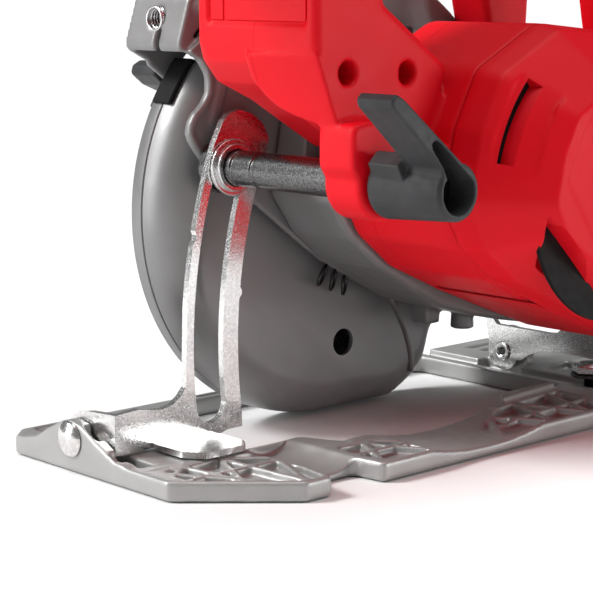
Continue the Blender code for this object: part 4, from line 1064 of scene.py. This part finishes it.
def front_handle():
    right = [(206, 167.6), (218.4, 164.8), (238, 145.6), (236, 200), (232, 232), (204, 236), (198, 205)]
    left = [(206, 168.6), (232, 160), (234, 200), (232, 226), (204, 230), (198, 200)]
    bar = rounded([(200, 214), (233, 210), (236, 232), (218, 244), (200, 238)], 8, 5)
    arch = cast(
        "front_handle_arch",
        crowned("Y", right, [(-104, 3), (-103, 1), (-101, 0), (-87, 0), (-85, 1), (-84, 3)], 6, 5),
        [
            crowned("Y", bar, [(-104, 4), (-102.6, 1.2), (-100, 0), (-16, 0), (-13.4, 1.2), (-12, 4)]),
            crowned("Y", left, [(-34, 3), (-33, 1), (-31, 0), (-15, 0), (-13, 1), (-12, 3)], 6, 5),
        ],
    )
    melt(arch, 0.95, 6)
    show(arch, "saw_body", "red", "front_handle")
    outer = rounded([(196.5, 211), (236.5, 206.5), (239.5, 234), (219, 247.5), (196.5, 241)], 9, 6)
    inner = rounded([(199.6, 213.6), (233.4, 209.6), (236.4, 232.3), (218.1, 244.4), (199.6, 238.4)], 8, 5)
    wide = rounded([(190, 205), (243, 200), (246, 238), (219, 254), (190, 248)], 9, 6)
    slim = rounded([(197.2, 211.7), (235.8, 207.2), (238.8, 233.6), (218.8, 246.7), (197.2, 240.4)], 9, 6)
    grooves = []
    for i in range(9):
        y = -78 + i * 4.75
        wide_ring, room = slab("Y", wide, y - 0.5, y + 0.5), slab("Y", slim, y - 1, y + 1)
        grooves.append(shape(f"groove_{i}", wide_ring, cut=[room]))
    sleeve = shape(
        "front_grip_sleeve", crowned("Y", outer, [(-83.4, 1.6), (-82, 0), (-36, 0), (-34.6, 1.6)]),
        cut=[slab("Y", inner, -90, -30)],
    )
    combine(sleeve, (), grooves, "EXACT")
    show(trim(sleeve, 0.3, 2, 40), "saw_body", "rubber", "front_grip")


def rear_grip():
    outer = handle_all(
        [(68, 76.5), (101, 75), (105, 88), (105, 106), (60, 119), (22, 123), (20, 117), (64, 108)]
    )
    room = rounded(inset(GRIP, -0.3), 6, 5)
    low, high = HANDLE_MID - 21.2, HANDLE_MID + 21.2
    stations = [(low, 3.0), (low + 1, 1.2), (low + 3, 0), (high - 3, 0), (high - 1, 1.2), (high, 3.0)]
    sleeve = cast("rear_grip_sleeve", crowned("Y", rounded(outer, 5, 5), stations), cut=[across(room, 18.3)])
    melt(sleeve, 0.9, 4)
    show(sleeve, "saw_body", "rubber", "rear_grip")


def controls():
    start, end = TRIGGER_SPAN
    blade_shape = handle_all(
        [
            (start + 0.8, 88), (start + 0.8, 76), (start + 8, 70.7), (start + 18, 72.4), (end - 8, 69.2),
            (end - 0.8, 74), (end - 0.8, 88),
        ]
    )
    steps = ((-7.4, 1.6), (-6.6, 0.4), (-5.4, 0), (5.4, 0), (6.6, 0.4), (7.4, 1.6))
    stations = [(HANDLE_MID + y, amount) for y, amount in steps]
    trigger = thing("trigger_blade", crowned("Y", rounded(blade_shape, 4, 5), stations))
    show(trim(trigger, 0.4), "trigger", "nylon", "trigger")
    steps = ((0, 8), (6, 8), (6, 20.3), (5.4, 21.2), (3.4, 21.2), (3.0, 20.8), (0, 20.6))
    knob = [(radius, HANDLE_MID + y) for radius, y in steps]
    button = trim(thing("lock_off_knob", turned("Y", LOCK_OFF_SPOT, knob, 48)), 0.3)
    show(button, "lock_off", "nylon", "lock_off_button")
    stem = [(0, 159), (7, 159), (7, 171.3), (6.3, 172.2), (4.4, 172.4), (4.0, 172.0), (0, 171.8)]
    button = trim(thing("spindle_lock_knob", turned("Z", SPINDLE_LOCK_AXIS, stem, 48)), 0.25)
    show(button, "spindle_lock", "nylon", "spindle_lock_button")


def rafter_hook():
    y = HANDLE_MID + 33.8
    outline = handle_all([(55, 13), (120, 13), (128, 20), (128, 60), (120, 60), (120, 27), (55, 27)])
    hook = shape(
        "rafter_hook_plate", slab("Y", rounded(outline, 6, 6), y, y + 4),
        cut=[rod("Y", HOOK_SPOT, 3.5, y - 2, y + 6, 32)],
    )
    show(trim(hook, 0.8, 4), "rafter_hook", "black_steel", "rafter_hook")
    pin = [
        (0, y - 12), (3.1, y - 12), (3.1, y + 4.4), (6, y + 4.4), (6, y + 5.4), (5, y + 6.4), (0, y + 6.4),
    ]
    knob = shape(
        "rafter_hook_screw", turned("Y", HOOK_SPOT, pin, 40),
        cut=[slab("Y", ring(HOOK_SPOT, 2.4, 6), y + 4.8, y + 8)],
    )
    show(trim(knob, 0.25), "saw_body", "steel", "hook_pin")


# ---- battery


def leaned(plan, low_up, high_up, inset_end=0.0):
    """A plan of (back, y) points pulled along the handle's own upward direction, its ends set in."""
    stations = [(low_up, 0), (high_up, 0)]
    if inset_end:
        ends = (low_up + inset_end, high_up - inset_end)
        stations = [(low_up, inset_end), (ends[0], 0), (ends[1], 0), (high_up, inset_end)]
    loops = []
    for up, amount in stations:
        rim = inset(plan, amount) if amount else plan
        places = [(handle(back, up), y) for back, y in rim]
        loops.append([(x, y, z) for (x, z), y in places])
    return skin(loops)


def plan_box(near, far, one, other):
    """A rectangle of (back, y) points behind the handle's end."""
    back = HANDLE_END
    return [(back + near, one), (back + far, one), (back + far, other), (back + near, other)]


def rail_plan(steps):
    """A symmetrical plan through these (back, half width) steps behind the handle's end."""
    right = [(HANDLE_END + back, HANDLE_MID - half) for back, half in steps]
    left = [(HANDLE_END + back, HANDLE_MID + half) for back, half in reversed(steps)]
    return right + left


def battery():
    mid, wide = HANDLE_MID, 37.0
    rail = rail_plan(((0.3, 22), (4, 22), (4, 26), (8, 26)))
    show(trim(thing("battery_rail", leaned(rail, 20, 90)), 0.4), "saw_body", "nylon", "terminal_block")
    plan = rounded(plan_box(0.6, 60, mid - wide, mid + wide), 7, 6)
    channel = rail_plan(((-2, 22.5), (3.5, 22.5), (3.5, 26.6), (8.6, 26.6)))
    cuts = [leaned(channel, -10, 91)]
    for side in (1, -1):
        face = mid + side * wide
        cuts.append(leaned(plan_box(12.6, 30.4, face - side * 5, face + side), 75.6, 104.4))
        cuts.append(leaned(plan_box(30, 70, face - side * 0.8, face + side * 4), 35.4, 36.4))
    for up in range(6, 30, 5):
        cuts.append(leaned(plan_box(58.6, 62, mid - 20, mid + 20), up, up + 2))
    cuts.append(leaned(plan_box(59.2, 70, mid - wide - 4, mid + wide + 4), 35.4, 36.4))
    case = shape("battery_pack_case", leaned(plan, -6, 112, 3), cut=cuts)
    show(trim(case, 0.6, 3), "battery", "nylon", "battery_case")
    for side, name in ((1, "left"), (-1, "right")):
        face = mid + side * wide
        button = plan_box(13, 30, face - side * 1.8, face + side * 1.6)
        grooves = []
        for up in range(80, 100, 6):
            grooves.append(leaned(plan_box(15, 28, face + side * 1.0, face + side * 3), up, up + 2))
        latch = shape(f"battery_button_{name}", leaned(button, 76, 104), cut=grooves)
        show(trim(latch, 0.4), f"battery_latch_{name}", "red", f"battery_latch_{name}")


# ---- kept nodes


KEPT = {
    "zinc": ("bevel_quadrant",),
    "steel": (
        "bevel_bolt", "depth_pivot_pin", "pinion", "output_gear", "motor_shaft", "front_motor_bearing",
        "rear_motor_bearing", "spindle_bearing", "arbor", "blade",
    ),
    "nylon": ("bevel_lever", "cooling_fan"),
    "rubber": ("guard_bumper",),
    "mottled_steel": ("rotor_core",),
    "copper": ("stator",),
    "black_steel": ("inner_flange", "outer_flange", "blade_bolt"),
    "black": ("trigger_switch",),
    "board": ("control_board",),
    "lens": ("led_lens",),
}


def kept_nodes():
    for finish, names in KEPT.items():
        material = FINISH[finish][1]
        for name in names:
            node = frame["nodes"][name]
            if not node.material_slots:
                node.data.materials.append(material)
            for place in node.material_slots:
                place.material = material


# ---- stage, light, camera


def stage():
    mesh = bmesh.new()
    ends = (-FLOOR_HALF, FLOOR_HALF)
    rows = [[mesh.verts.new((x, y, FLOOR_LEVEL)) for y in ends] for x in ends]
    mesh.faces.new((rows[0][0], rows[1][0], rows[1][1], rows[0][1]))
    floor = thing("studio_floor", mesh)
    paper = surface("floor_paper", (0.84, 0.84, 0.84), 0.8, 0.0, (400, 0.02), (3, 0.004), 0.02)
    floor.data.materials.append(paper)
    world = bpy.data.worlds.new("studio")
    scene.world = world
    world.use_nodes = True
    fill(world.node_tree.nodes["Background"], {"Color": (1, 1, 1, 1), "Strength": SKY_STRENGTH})


def lamp(name, place, aim, size, watts):
    data = bpy.data.lights.new(name, "AREA")
    data.shape = "RECTANGLE"
    data.size, data.size_y = size
    data.energy = watts
    made = placed(name, data)
    made.location = place
    made.rotation_euler = (Vector(aim) - Vector(place)).to_track_quat("-Z", "Y").to_euler()


def sun(name, source, spread, strength):
    data = bpy.data.lights.new(name, "SUN")
    data.angle = radians(spread)
    data.energy = strength
    made = placed(name, data)
    made.rotation_euler = (-Vector(source)).to_track_quat("-Z", "Y").to_euler()


def camera():
    data = bpy.data.cameras.new("photo_view")
    data.sensor_width = 36
    data.lens = CAMERA_LENS
    data.clip_start = 0.01
    made = placed("photo_view", data)
    made.location = CAMERA_PLACE
    made.rotation_euler = [radians(turn) for turn in CAMERA_TURN]
    scene.camera = made
    scene.view_settings.view_transform = "Standard"


shoe()
fence_screw()
rear_depth_bracket()
front_bevel_bracket()
depth_lock()
lower_guard()
lift_lever()
guard_spring()
upper_guard()
gear_case()
housing()
rear_handle()
control_cover()
handle_screws()
motor_cap()
front_handle()
rear_grip()
controls()
rafter_hook()
battery()
kept_nodes()
stage()
sun("key", source=(-0.75, 0.55, 0.8), spread=16, strength=2.5)
sun("top", source=(0.0, -0.1, 1.0), spread=48, strength=1.75)
lamp("left_box", place=(-1.0, 0.55, 0.45), aim=(0.02, 0, 0.12), size=(0.5, 0.9), watts=8)
lamp("low_box", place=(0.75, -1.1, 0.16), aim=(0.12, -0.02, 0.03), size=(0.5, 0.25), watts=4.2)
camera()
